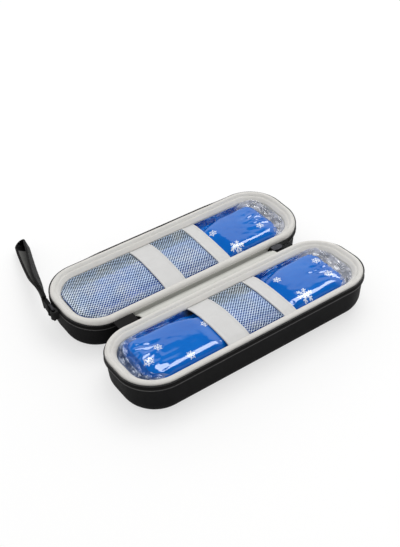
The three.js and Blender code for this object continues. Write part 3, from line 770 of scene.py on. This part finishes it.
SNOW = {
    "base": (
        (-69.7, 1.1, 3.4), (-55.3, -18.5, 3.4), (-29.0, 2.0, 3.6), (-82.1, -6.6, 4.2), (41.6, 8.0, 3.4),
        (47.0, -17.4, 6.5), (76.5, -9.9, 3.8), (79.5, 7.5, 3.8),
    ),
    "lid": ((37.7, 4.8, 3.4), (43.2, -20.6, 6.2), (73.3, -10.9, 3.6)),
}


def open_share(x, half, ramp=WINDOW_RAMP):
    """1 where the pack lies open, 0 where a band or a net holds it down."""
    right = smooth_step(x, NARROW_BAND[1] - WINDOW_UNDER_BAND, NARROW_BAND[1] + ramp)
    if half == "lid":
        return right
    return right + smooth_step(-x, -WIDE_BAND[0] - WINDOW_UNDER_BAND, -WIDE_BAND[0] + ramp)


def arch(x, y, half):
    """Height of the line that bands and nets follow over a pack, highest a little behind the middle."""
    reach = np.where(y > PACK_RIDGE, PACK_HALF_WIDTH - PACK_RIDGE, PACK_HALF_WIDTH + PACK_RIDGE)
    pushed_up = np.interp(x, (WIDE_BAND[1], NARROW_BAND[0]), BAND_CROWN[half])
    pushed_up += (PACK_CROWN - pushed_up) * open_share(x, half)
    return PACK_TOP - PACK_CROWN + pushed_up * (1 - np.abs((y - PACK_RIDGE) / reach) ** ARCH_POWER)


def pack_edge():
    """Outline of a pack seen from above: a long rectangle with rounded corners, in step with the rim's run."""
    run = np.linspace(0, RIM_AROUND, PACK_STEPS, endpoint=False)
    near = along_rim(run, 0.0, 0.0)[:, :2]
    turned = np.arctan2(near[:, 1] / RIM_HALF_WIDTH, near[:, 0] / RIM_HALF_LENGTH)
    aim = np.stack((np.cos(turned), np.sin(turned)), 1)
    size = np.array((PACK_HALF_LENGTH, PACK_HALF_WIDTH))
    square = aim / np.abs(aim).max(1)[:, None] * size
    inside = np.clip(square, PACK_CORNER - size, size - PACK_CORNER)
    past = square - inside
    reach = np.linalg.norm(past, axis=1)[:, None]
    rounded = np.where(reach > PACK_CORNER, inside + past * PACK_CORNER / np.maximum(reach, 1e-6), square)
    return rounded + (PACK_SHIFT, 0)


def crown(x, y, half):
    """Height of a pack's top: the arch under bands and nets, flatter and fuller where the pack lies open."""
    bare = open_share(x, half)
    tilt = LID_WINDOW_TILT * y if half == "lid" else 0
    held = arch(x, y, half)
    fuller = WINDOW_SWELL + WINDOW_FLATTER * (PACK_TOP - held) - tilt
    return held + fuller * bare


def pack_surface(half, seed):
    """Grids over the top and the bottom of a pack, from its middle line out to its seam."""
    edge = pack_edge()
    middle_x = np.clip(edge[:, 0] * MIDDLE_SHARE, -PACK_MIDDLE, PACK_MIDDLE)
    middle = np.stack((middle_x, np.zeros(PACK_STEPS)), 1)
    at_end = smooth_step(np.abs(edge[:, 0]), END_RUN[0], PACK_HALF_LENGTH)
    near_side = smooth_step(-edge[:, 1], 0, PACK_HALF_WIDTH)
    shoulder = SHOULDER + NEAR_SHOULDER[half] * near_side + END_SHOULDER * at_end
    top, bottom = [], []
    for share in PACK_RINGS:
        place = middle + (edge - middle) * share
        inset = np.linalg.norm(edge - middle, axis=1) * (1 - share)
        fullness = np.sqrt(1 - (1 - np.clip(inset / shoulder, 0, 1)) ** 2)
        height = PACK_SEAM + (crown(*place.T, half) - PACK_SEAM) * fullness
        crumple = np.array([film_folds(x, y, seed) for x, y in place])
        slack = smooth_step(np.abs(place[:, 0]), *SLACK_RUN) * open_share(place[:, 0], half)
        gathers = np.array([abs(noise.noise(Vector((x, y, 11 + seed)))) for x, y in place * GATHER_PACE])
        loose = (GATHER_TOP - GATHER_DEPTH * gathers) * slack
        height += (crumple * (TAUT_FOLDS + SLACK_FOLDS * slack) + loose) * fullness
        bare = open_share(place[:, 0], half, TROUGH_RAMP)
        dip = smooth_step(place[:, 1] - WINDOW_TROUGH_BACK * bare, *TROUGH_RUN) * (1 - END_TROUGH_LESS * at_end)
        height -= (NET_TROUGH + (WINDOW_TROUGH - NET_TROUGH) * bare) * dip * fullness
        top.append(np.column_stack((place, height)))
        bottom.append(np.column_stack((place, PACK_SEAM - (PACK_SEAM - PACK_BOTTOM) * fullness)))
    return np.array(top), np.array(bottom)


def film_folds(x, y, seed):
    """Height of the shallow dents and sharp little folds of taut film, in millimetres."""
    dents = noise.noise(Vector((x * DENT_PACE[0], y * DENT_PACE[1], seed)))
    folds = abs(noise.noise(Vector((x * FOLD_PACE[0] + seed, y * FOLD_PACE[1], 3.1))))
    creases = abs(noise.noise(Vector((x * CREASE_PACE[0], y * CREASE_PACE[1] + seed, 7.7))))
    return DENT_DEPTH * dents + FOLD_DEPTH * (FOLD_LEVEL - folds) + CREASE_DEPTH * (FOLD_LEVEL - creases)


def nearest_flake(tree, flakes):
    """Distance along and across the arm of the nearest snow crystal, in that crystal's own size."""
    place = tree.node("TexCoord", output="Object")
    place = tree.node("VectorMath", {"operation": "SCALE"}, {0: place, "Scale": 1 / MM})
    level_place = tree.node("VectorMath", {"operation": "MULTIPLY"}, {0: place, 1: (1, 1, 0)})
    nearest, shortest = None, None
    for x, y, size in flakes:
        away = tree.node("VectorMath", {"operation": "SUBTRACT"}, {0: level_place, 1: (x, y, 0)})
        scaled = tree.node("VectorMath", {"operation": "SCALE"}, {0: away, "Scale": 1 / size})
        length = tree.node("VectorMath", {"operation": "LENGTH"}, {0: scaled}, "Value")
        if nearest is None:
            nearest, shortest = scaled, length
        else:
            closer = length < shortest
            nearest = tree.node("Mix", {"data_type": "VECTOR"}, {0: closer, 4: nearest, 5: scaled}, 1)
            shortest = tree.math("MINIMUM", length, shortest)
    x, y, _ = nearest.parts()
    angle = tree.math("ARCTAN2", y, x)
    sixth = math.pi / 3
    fold = tree.math("ABSOLUTE", tree.math("WRAP", angle, -sixth / 2, sixth / 2))
    return shortest * tree.math("COSINE", fold), shortest * tree.math("SINE", fold)


def crystals(tree, flakes, arm, twig, twigs):
    """Mask of snow crystals with six arms. Each start and reach gives an arm one pair of slanting twigs."""
    along, across = nearest_flake(tree, flakes)
    mask = (across < arm) * (along < 1.0)
    for start, reach in twigs:
        slant = tree.math("ABSOLUTE", across * TWIG_AIM[1] - (along - start) * TWIG_AIM[0])
        mask = tree.math("MAXIMUM", mask, (slant < twig) * (across < reach))
    return mask


def snow_print(tree, half):
    """Mask of a pack's white print, with two pairs of twigs on the large crystals and one pair on the small ones."""
    flakes = [(x, y + HALF_PLACE[half][1], size) for x, y, size in SNOW[half]]
    large = [flake for flake in flakes if flake[2] > LARGE_FLAKE]
    small = [flake for flake in flakes if flake[2] <= LARGE_FLAKE]
    return tree.math("MAXIMUM", crystals(tree, large, **LARGE_CRYSTAL), crystals(tree, small, **SMALL_CRYSTAL))


def pack_finish(half):
    """Blue film with its print, duller under bands and nets, where painted shade darkens it, nearly to black along the
    far side.
    """
    material, tree, shader = finish(half + "_gel_film", Specular_IOR_Level=0.05, Coat_Roughness=0.03, Coat_IOR=1.56)
    clouds = mottle(tree, 30)
    x, y, _ = case_place(tree)
    covered = 1 - x.past(NARROW_BAND)
    if half == "base":
        covered = covered * x.past(WIDE_BAND)
    far_side = (y - HALF_PLACE[half][1] * MM).past(FAR_STRIP)
    bare_blue = clouds.between(0.3, 0.7).mixed(paint(0, 95, 188), paint(3, 106, 199))
    # Painted shade: the blue is darker under bands and nets, and nearly black along the far side there.
    blue = covered.mixed(bare_blue, far_side.mixed(paint(0, 54, 142), paint(2, 12, 30)))
    print_wear_and_fold_shade = snow_print(tree, half) * (0.72 + mottle(tree, 0.8).between(0.35, 0.6) * 0.25)
    print_wear_and_fold_shade.mixed(blue, paint(232, 238, 246)).into(shader, "Base Color")
    (0.16 + clouds * 0.1).into(shader, "Roughness")
    (1 - covered * 0.75).into(shader, "Coat Weight")
    raised(tree, mottle(tree, 5, 2.0), shader, 0.25, 0.35)
    return material


FILM_WINDOW = (26, 38)
FILM_ROOT = (0.8, 1.8)
FILM_BODY = 0.92
FILM_END_CLEARER = 0.7
FILM_LEFT_DENSER = 0.58
FILM_CREASE_DENSER = 0.42
FILM_EDGE = -8.7
FILM_TOP = 25.9
FILM_KNEE = 19.3
FILM_KNEE_OUT = 0.75
FILM_TAUTER = 5.0
FILM_TAUT_RUN = (0, 20)
FILM_ROWS = 21
FILM_LIFT = 0.12
FILM_RINGS = (-6, -15)
FILM_RING_RUN = (72, 86)
FILM_LOOSE = (0.25, 0.75)
FILM_FOLD = 6.5
FILM_FOLD_PACE = (0.035, 0.2)
FILM_CRUMPLE = 3.0
FILM_CRUMPLE_PACE = (0.11, 0.09)
FILM_SWELL = 0.8

clear_film, tree, shader = finish("clear_film", Specular_IOR_Level=0.35, Coat_Roughness=0.02, Coat_IOR=1.6)
x, y, _ = case_place(tree)
from_middle = tree.math("ABSOLUTE", x)
at_end = from_middle.past(END_RUN)
at_left = (0 - x).past(END_RUN)
under_pocket = (y > LID_SHIFT / 2 * MM) * (x < 0)
in_window = from_middle.past(FILM_WINDOW) * (1 - under_pocket)
creased = mottle(tree, 7, 2.0).between(0.4, 0.62)
streaked = creased.mixed(paint(2, 62, 146), paint(40, 112, 190))
# Painted shade: under the nets the film's sides are coloured a neutral dark grey.
at_side = in_window.mixed(paint(52, 53, 58), streaked)
from_pouch = cloth_lengths(tree)[1]
by_pouch = 1 - from_pouch.past(FILM_ROOT)
over_gel = by_pouch.mixed(creased.mixed(paint(44, 66, 106), paint(150, 164, 192)), paint(8, 84, 168))
at_end.mixed(at_side, at_left.mixed(paint(214, 216, 226), over_gel)).into(shader, "Base Color")
(0.35 + at_end * 0.65 - at_left * 0.72).into(shader, "Coat Weight")
(0.08 + at_left * 0.24).into(shader, "Roughness")
clearer = at_end * FILM_END_CLEARER - creased * at_end * FILM_CREASE_DENSER
denser = at_left * (FILM_LEFT_DENSER - creased * FILM_CREASE_DENSER)
(FILM_BODY - clearer + denser).into(shader, "Alpha")

for seed, half in enumerate(HALVES):
    top, bottom = pack_surface(half, 2.0 + 5 * seed)
    grid = np.concatenate((top, bottom[::-1][1:])) + HALF_PLACE[half]
    mesh = cloth_mesh(half + "_gel_pouch", grid, wrap_run=True)
    pack = piece(half + "_gel_pouch", mesh, pack_finish(half), half)
    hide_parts(half + "_gel_pack")

    run = np.linspace(0, RIM_AROUND, PACK_STEPS, endpoint=False)
    over_end = smooth_step(np.abs(top[-1, :, :1]), *FILM_RING_RUN)
    side_ring, end_ring = (top[ring] for ring in FILM_RINGS)
    inner = side_ring * (1 - over_end) + end_ring * over_end + (0, 0, FILM_LIFT)
    outer = along_rim(run, FILM_EDGE, FILM_TOP)
    knee = (1 - FILM_KNEE_OUT) * inner + FILM_KNEE_OUT * outer
    knee[:, 2] = FILM_KNEE + FILM_TAUTER * open_share(outer[:, 0], half) * smooth_step(outer[:, 1], *FILM_TAUT_RUN)
    bends = np.linspace(0, 1, FILM_ROWS)[:, None, None]
    skirt = (1 - bends) ** 2 * inner + 2 * bends * (1 - bends) * knee + bends**2 * outer
    for i, j in np.ndindex(*skirt.shape[:2]):
        x = skirt[i, j, 0]
        loose = FILM_LOOSE[0] * open_share(x, half) + FILM_LOOSE[1] * smooth_step(abs(x), *END_RUN)
        loose *= math.sin(math.pi * i / (FILM_ROWS - 1))
        folds = abs(noise.noise(Vector((run[j] * FILM_FOLD_PACE[0], i * FILM_FOLD_PACE[1], 3.0 + seed))))
        crumple = abs(noise.noise(Vector((run[j] * FILM_CRUMPLE_PACE[0], i * FILM_CRUMPLE_PACE[1], 8.0 + seed))))
        skirt[i, j, 2] += loose * (FILM_FOLD * folds + FILM_CRUMPLE * crumple + FILM_SWELL)
    film = cloth_mesh(half + "_gel_seal", skirt + HALF_PLACE[half], wrap_run=True)
    piece(half + "_gel_seal", film, clear_film, half)

# Elastic bands: two flat knitted elastics across each half that hold the pack down, tucked under the binding at both
# sides. Their edges are knitted closer, which makes a slightly raised pale selvedge.
BAND_LIFT = 0.35
BAND_CREASE = 0.18
CREASE_HALF = 0.9
SELVEDGE = 1.4
BAND_EDGE = ((0.15, 0.1), (0.0, 0.5), (0.1, 1.15), (0.45, 1.35), (SELVEDGE, 1.28), (SELVEDGE + 0.25, 1.12))
BAND_FACE = 1.12
BAND_FACE_INSET = SELVEDGE + 1.2
BAND_UNDER_INSET = 1.0
BAND_REACH = 26.0
BAND_STEPS = 60
BAND_DIP = 0.7
DIP_FROM = 20
BAND_WAVE = 0.12
BAND_WAVE_PACE = 0.12
CORD_PITCH = 0.9


def ribbed(tree, length, pitch):
    """Height of even ribs, 0 to 1, at a pitch in millimetres."""
    return 0.5 + 0.5 * tree.math("SINE", length * (2 * math.pi / (pitch * MM)))


elastic_knit, tree, shader = finish("elastic_knit", Specular_IOR_Level=0.2, Sheen_Weight=0.1)
cords = ribbed(tree, cloth_lengths(tree)[0], CORD_PITCH)
loops = weave(tree, CORD_PITCH, 0.7)
clouds = mottle(tree, 8)
(clouds * 0.5 + loops * 0.5).mixed(paint(196, 195, 194), paint(213, 213, 212)).into(shader, "Base Color")
(0.8 + loops * 0.1).into(shader, "Roughness")
raised(tree, cords * 0.6 + loops * 0.4, shader, 0.1)


def band_points(left, right, half, seed):
    """Grid round a band: its section across X, swept along the arch of the pack."""
    section = [(left + inset, height) for inset, height in BAND_EDGE]
    section += [(x, BAND_FACE) for x in np.linspace(left + BAND_FACE_INSET, right - BAND_FACE_INSET, 7)]
    section += [(right - inset, height) for inset, height in reversed(BAND_EDGE)]
    section += [(x, 0.0) for x in np.linspace(right - BAND_UNDER_INSET, left + BAND_UNDER_INSET, 6)]
    section = np.array(section)
    y = np.linspace(-BAND_REACH, BAND_REACH, BAND_STEPS)
    grid = np.empty((len(section), len(y), 3))
    grid[:, :, 0] = section[:, :1]
    grid[:, :, 1] = y
    line = arch((left + right) / 2, y, half) + BAND_LIFT - BAND_DIP * smooth_step(np.abs(y), DIP_FROM, BAND_REACH)
    grid[:, :, 2] = line - BAND_CREASE * np.exp(-(((y - PACK_RIDGE) / CREASE_HALF) ** 2)) + section[:, 1:]
    for i, j in np.ndindex(*grid.shape[:2]):
        place = Vector((*(grid[i, j, :2] * BAND_WAVE_PACE), seed))
        grid[i, j, 2] += BAND_WAVE * noise.noise(place)
    return grid


for seed, half in enumerate(HALVES):
    for number, (name, (left, right)) in enumerate((("wide_band", WIDE_BAND), ("narrow_band", NARROW_BAND))):
        grid = band_points(left, right, half, seed * 3.7 + number * 1.9) + HALF_PLACE[half]
        mesh = cloth_mesh(f"{half}_{name}_elastic", grid, wrap_rise=True, capped=True)
        band = piece(f"{half}_{name}_elastic", mesh, elastic_knit, half)
        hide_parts(f"{half}_{name}")

# Nets: white knitted net with small diamond holes, stretched over the packs between the bands, and over the whole left
# end of the lid as a pocket. It is sewn under the binding and to the bands' edges, and the pull of the binding's
# seams widens its holes there. Its threads' sides are painted shade: dark blue, dark grey along the far side.
NET_PITCH = (2.44, 2.48)
NET_HOLE = 0.765
NET_HOLE_NARROWER = 0.86
NET_STRETCH = 0.1
STRETCH_RUN = (9, 19)
NET_CREST = 0.16
NET_THREAD = 0.38
NET_WAVE = 0.35
NET_WAVE_PACE = (0.07, 0.09)
NET_LIFT = 0.35
NET_EDGE = 25.7
NET_BORDER = 0.3
NET_WELD = 0.05
NET_SEAM = 26.2
NET_RISES_FROM = 12
POCKET_LEFT = -96.5
POCKET_CORNER = RIM_CORNER - 8.8
POCKET_AREA_SHARE = 0.95
BASE_FAR_SIDE = (12, 16)
LID_FAR_SIDE = (92, 96)
BASE_FAR_END = 30

net_thread, tree, shader = finish("net_thread", Specular_IOR_Level=0.3, Sheen_Weight=0.1)
strands = mottle(tree, 0.5)
# Painted sheen: broad clouds make the threads' colour lighter in places.
painted_sheen = mottle(tree, 17, 2.0).between(0.38, 0.66)
(strands * 0.4 + painted_sheen * 0.6).mixed(paint(192, 220, 255), paint(238, 249, 255)).into(shader, "Base Color")
(0.5 + strands * 0.2).into(shader, "Roughness")
raised(tree, strands, shader, 0.06)

# Painted shade on the threads' sides: dark blue over the pack, neutral dark grey along the far side.
net_shade, tree, shader = finish("net_shade", Specular_IOR_Level=0.1)
y = case_place(tree)[1]
in_base = y.past(BASE_FAR_SIDE) * (y < BASE_FAR_END * MM)
at_far_side = tree.math("MAXIMUM", in_base, y.past(LID_FAR_SIDE))
over_blue = mottle(tree, 0.5).mixed(paint(6, 44, 116), paint(16, 66, 146))
at_far_side.mixed(over_blue, paint(34, 35, 38)).into(shader, "Base Color")
(0.7 + mottle(tree, 0.8) * 0.2).into(shader, "Roughness")


def net_height(x, y, half):
    """The net lies on the pack and rises from its shoulders to the seams under the binding."""
    rising = smooth_step(np.abs(y), NET_RISES_FROM, NET_EDGE)
    return arch(x, y, half) * (1 - rising) + rising * NET_SEAM + NET_LIFT


def net_mesh(name, left, right, rounded, half, seed):
    """Diamond cells in staggered rows, with a crest along each thread. Cells past the border are drawn in to it."""
    pitch = np.array(NET_PITCH)
    outline = np.array(((2, 0), (1, 1), (0, 2), (-1, 1), (-2, 0), (-1, -1), (0, -2), (1, -1))) * pitch / 4
    rim = outline * np.array((NET_HOLE_NARROWER, 1) * 4)[:, None]
    points, faces, found = [], [], {}
    rows = int(2 * NET_EDGE / pitch[1]) + 2
    columns = int((right - left) / pitch[0]) + 2
    for row in range(-rows, rows + 1):
        for column in range(columns):
            centre = np.array((left + (column + 0.5 * (row % 2)) * pitch[0], row * pitch[1] / 2))
            if not inside_net(centre, left, right, rounded):
                continue
            outer = []
            for place in centre + outline:
                key = tuple(round(value) for value in place / NET_WELD)
                if key not in found:
                    found[key] = len(points)
                    points.append((*drawn_in(place, left, right, rounded), NET_CREST))
                outer.append(found[key])
            hole = NET_HOLE + NET_STRETCH * smooth_step(abs(centre[1]), *STRETCH_RUN)
            inner = []
            for place in centre + rim * hole:
                inner.append(len(points))
                points.append((*drawn_in(place, left, right, rounded), 0.0))
            for i in range(8):
                faces.append((outer[i], outer[(i + 1) % 8], inner[(i + 1) % 8], inner[i]))
    points = np.array(points)
    points[:, 2] += net_height(points[:, 0], points[:, 1], half)
    for point in points:
        point[2] += NET_WAVE * noise.noise(Vector((*(point[:2] * NET_WAVE_PACE), seed)))
    mesh = bpy.data.meshes.new(name)
    mesh.from_pydata((points + HALF_PLACE[half]) * MM, [], faces)
    mesh.shade_smooth()
    return mesh


def net_limit(x, rounded):
    """Half a net's width at a place along it. The pocket's left end is rounded as the cavity is."""
    if not rounded:
        return NET_EDGE
    past = np.clip(-x - straight_x, 0, POCKET_CORNER)
    return NET_EDGE - POCKET_CORNER + math.sqrt(max(POCKET_CORNER**2 - past**2, 0))


def inside_net(centre, left, right, rounded):
    """Whether a cell's middle lies on the net or just past its border."""
    in_width = abs(centre[1]) < net_limit(centre[0], rounded) + NET_BORDER
    return left - NET_BORDER < centre[0] < right + NET_BORDER and in_width


def drawn_in(place, left, right, rounded):
    """A point of a cell, brought to the border where it lies past it."""
    x = min(max(place[0], left), right)
    limit = net_limit(x, rounded)
    return x, min(max(place[1], -limit), limit)


nets = (
    ("base_net", "base_net_panel", "base", WIDE_BAND[1] + SEAT, NARROW_BAND[0] - SEAT, False),
    ("lid_net", "lid_net_panel", "lid", WIDE_BAND[1] + SEAT, NARROW_BAND[0] - SEAT, False),
    ("lid_pocket_net", "lid_net_pocket", "lid", POCKET_LEFT, WIDE_BAND[0] - SEAT, True),
)
for seed, (name, node, half, left, right, rounded) in enumerate(nets):
    net = piece(name, net_mesh(name, left, right, rounded, half, seed * 2.3), net_thread, half)
    depth = net.modifiers.new("thread_depth", "SOLIDIFY")
    depth.thickness = NET_THREAD * MM
    depth.offset = -1
    depth.material_offset_rim = 1
    net.data.materials.append(net_shade)
    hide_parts(node)
    flat = ((right - left) * MM, 2 * NET_EDGE * MM)
    area = flat[0] * flat[1] * (POCKET_AREA_SHARE if rounded else 1)

# Wrist strap: a black webbing tab sewn to the lid's end holds a small dark ring. A black leatherette strap, grey along
# the middle of its inner face but black round the bend, is folded through it, stitched flat for a short way, and opens
# into a hand loop that hangs down to the table, bowed a little and with its two strands splayed.
STRAP_WIDTH = 10.5
STRAP_THICKNESS = 1.8
STRAP_ROUND = 0.7
STRAP_START = (-107.986, 97.402, 24.9)
STRAP_TURN = math.radians(74.3)
STRAP_BOW = -0.8
STRAP_DROOP = math.radians(10.7)
LOOP_ROLL = math.radians(27)
STRAND_ROLL = (math.radians(18), math.radians(68))
BEND_NARROWER = 0.08
BEND_RUN = (16, 2)
LOOP_TWIST = 42.0
LOOP_LENGTH = 103.0
LOOP_WIDTH = 7.6
LOOP_OPENS_FROM = 4.8
LOOP_OPENS_PAST = 1.25
LOOP_SEWN = 1.5
INNER_FACE = 12
INNER_HEM = 1.6
GREY_BEYOND_BEND = 30
KEEPER_THICKNESS = 3.4
WEBBING_PITCH = 0.9
TAB_EDGE = 0.35
RING_EDGE = 0.3
KEEPER_EDGE = 0.5

webbing, tree, shader = finish("tab_webbing", Specular_IOR_Level=0.25)
cords = ribbed(tree, case_place(tree)[2], WEBBING_PITCH)
cords.mixed(paint(10, 10, 10), paint(28, 28, 28)).into(shader, "Base Color")
(0.7 + cords * 0.15).into(shader, "Roughness")
raised(tree, cords, shader, 0.15)
softened("strap_tab", webbing, TAB_EDGE)
softened("strap_ring", gunmetal, RING_EDGE)

leatherette, tree, shader = finish("strap_leatherette", Specular_IOR_Level=0.06)
place = tree.node("TexCoord", output="Object")
grain = tree.node("TexVoronoi", {"feature": "DISTANCE_TO_EDGE"}, {"Vector": place, "Scale": 900}, "Distance")
pores = grain.between(0.0, 0.25)
pores.mixed(paint(4, 4, 4), paint(14, 14, 14)).into(shader, "Base Color")
(0.55 - pores * 0.12 + mottle(tree, 6) * 0.1).into(shader, "Roughness")
raised(tree, pores, shader, 0.1)
softened("strap_keeper", leatherette, KEEPER_EDGE)

# Grey colour for the middle strip of the strap's inner face along its strands.
grey_inner_face, tree, shader = finish("strap_grey_inner_face", Specular_IOR_Level=0.1, Sheen_Weight=0.1)
inner_clouds = mottle(tree, 1.5, 4.0)
(inner_clouds * 0.6 + mottle(tree, 9) * 0.4).mixed(paint(72, 72, 70), paint(100, 100, 98)).into(shader, "Base Color")
(0.85 + inner_clouds * 0.1).into(shader, "Roughness")
raised(tree, inner_clouds, shader, 0.12)


def strap_path(steps=150):
    """Middle line of the hand loop in its own plane: out along one side, round the bend and back."""
    bend_radius = (LOOP_WIDTH - STRAP_THICKNESS) / 2
    bend_start = LOOP_LENGTH - LOOP_WIDTH / 2
    pinch = KEEPER_THICKNESS / 2 - STRAP_THICKNESS / 2
    x = np.linspace(-LOOP_SEWN, bend_start, steps)
    opening = (LOOP_OPENS_FROM, bend_start * LOOP_OPENS_PAST)
    spread = smooth_step(x, *opening) / smooth_step(bend_start, *opening)
    side = pinch + (bend_radius - pinch) * spread
    angles = np.linspace(-math.pi / 2, math.pi / 2, 40)[1:-1]
    bend = np.stack((bend_start + bend_radius * np.cos(angles), bend_radius * np.sin(angles)), 1)
    return np.concatenate((np.stack((x, -side), 1), bend, np.stack((x, side), 1)[::-1]))


def strap_points():
    """Grid round the strap's section, swept along the loop and laid in the case's frame."""
    path = strap_path()
    ahead = np.gradient(path, axis=0)
    ahead /= np.linalg.norm(ahead, axis=1)[:, None]
    outward = np.stack((ahead[:, 1], -ahead[:, 0]), 1)
    half_width, half_depth = STRAP_WIDTH / 2, STRAP_THICKNESS / 2
    section = []
    for sign_w, sign_d, first in ((1, 1, 0), (-1, 1, 1), (-1, -1, 2), (1, -1, 3)):
        for angle in np.linspace(0, math.pi / 2, 4):
            turn_angle = angle + first * math.pi / 2
            section.append((
                sign_w * (half_width - STRAP_ROUND) + STRAP_ROUND * math.cos(turn_angle),
                sign_d * (half_depth - STRAP_ROUND) + STRAP_ROUND * math.sin(turn_angle),
            ))
    hems = [(-half_width + INNER_HEM, -half_depth), (half_width - INNER_HEM, -half_depth)]
    section[INNER_FACE:INNER_FACE] = hems
    section = np.array(section)
    at_bend = smooth_step(path[:, 0], LOOP_LENGTH - BEND_RUN[0], LOOP_LENGTH - BEND_RUN[1])
    width = section[:, :1] * (1 - BEND_NARROWER * at_bend)
    depth = section[:, 1:]
    twist = smooth_step(path[:, 0], 0, LOOP_TWIST)
    roll = LOOP_ROLL * twist
    strand_roll = np.interp(path[:, 1], (-LOOP_WIDTH / 3, LOOP_WIDTH / 3), STRAND_ROLL) * twist
    thick = depth * outward[:, 1]
    far = path[:, 0] + depth * outward[:, 0]
    across = path[:, 1] * np.cos(roll) + thick * np.cos(strand_roll) + width * np.sin(strand_roll)
    across -= STRAP_BOW * np.sin(math.pi * np.clip(path[:, 0] / LOOP_LENGTH, 0, 1)) ** 2
    rise = width * np.cos(strand_roll) - path[:, 1] * np.sin(roll) - thick * np.sin(strand_roll)
    axis_x = np.array((
        math.cos(STRAP_TURN) * math.cos(STRAP_DROOP),
        math.sin(STRAP_TURN) * math.cos(STRAP_DROOP),
        -math.sin(STRAP_DROOP),
    ))
    axis_y = np.array((-math.sin(STRAP_TURN), math.cos(STRAP_TURN), 0))
    axis_z = np.cross(axis_x, axis_y)
    return np.array(STRAP_START) + far[..., None] * axis_x + across[..., None] * axis_y + rise[..., None] * axis_z


loop_mesh = cloth_mesh("hand_loop", strap_points(), wrap_rise=True, capped=True)
hand_loop = piece("hand_loop", loop_mesh, leatherette, "strap")
loop_mesh.materials.append(grey_inner_face)
along_loop = len(strap_path()) - 1
for number, face in enumerate(loop_mesh.polygons[INNER_FACE * along_loop:(INNER_FACE + 1) * along_loop]):
    face.material_index = int(abs(number - along_loop / 2) > GREY_BEYOND_BEND)
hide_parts("strap_loop")
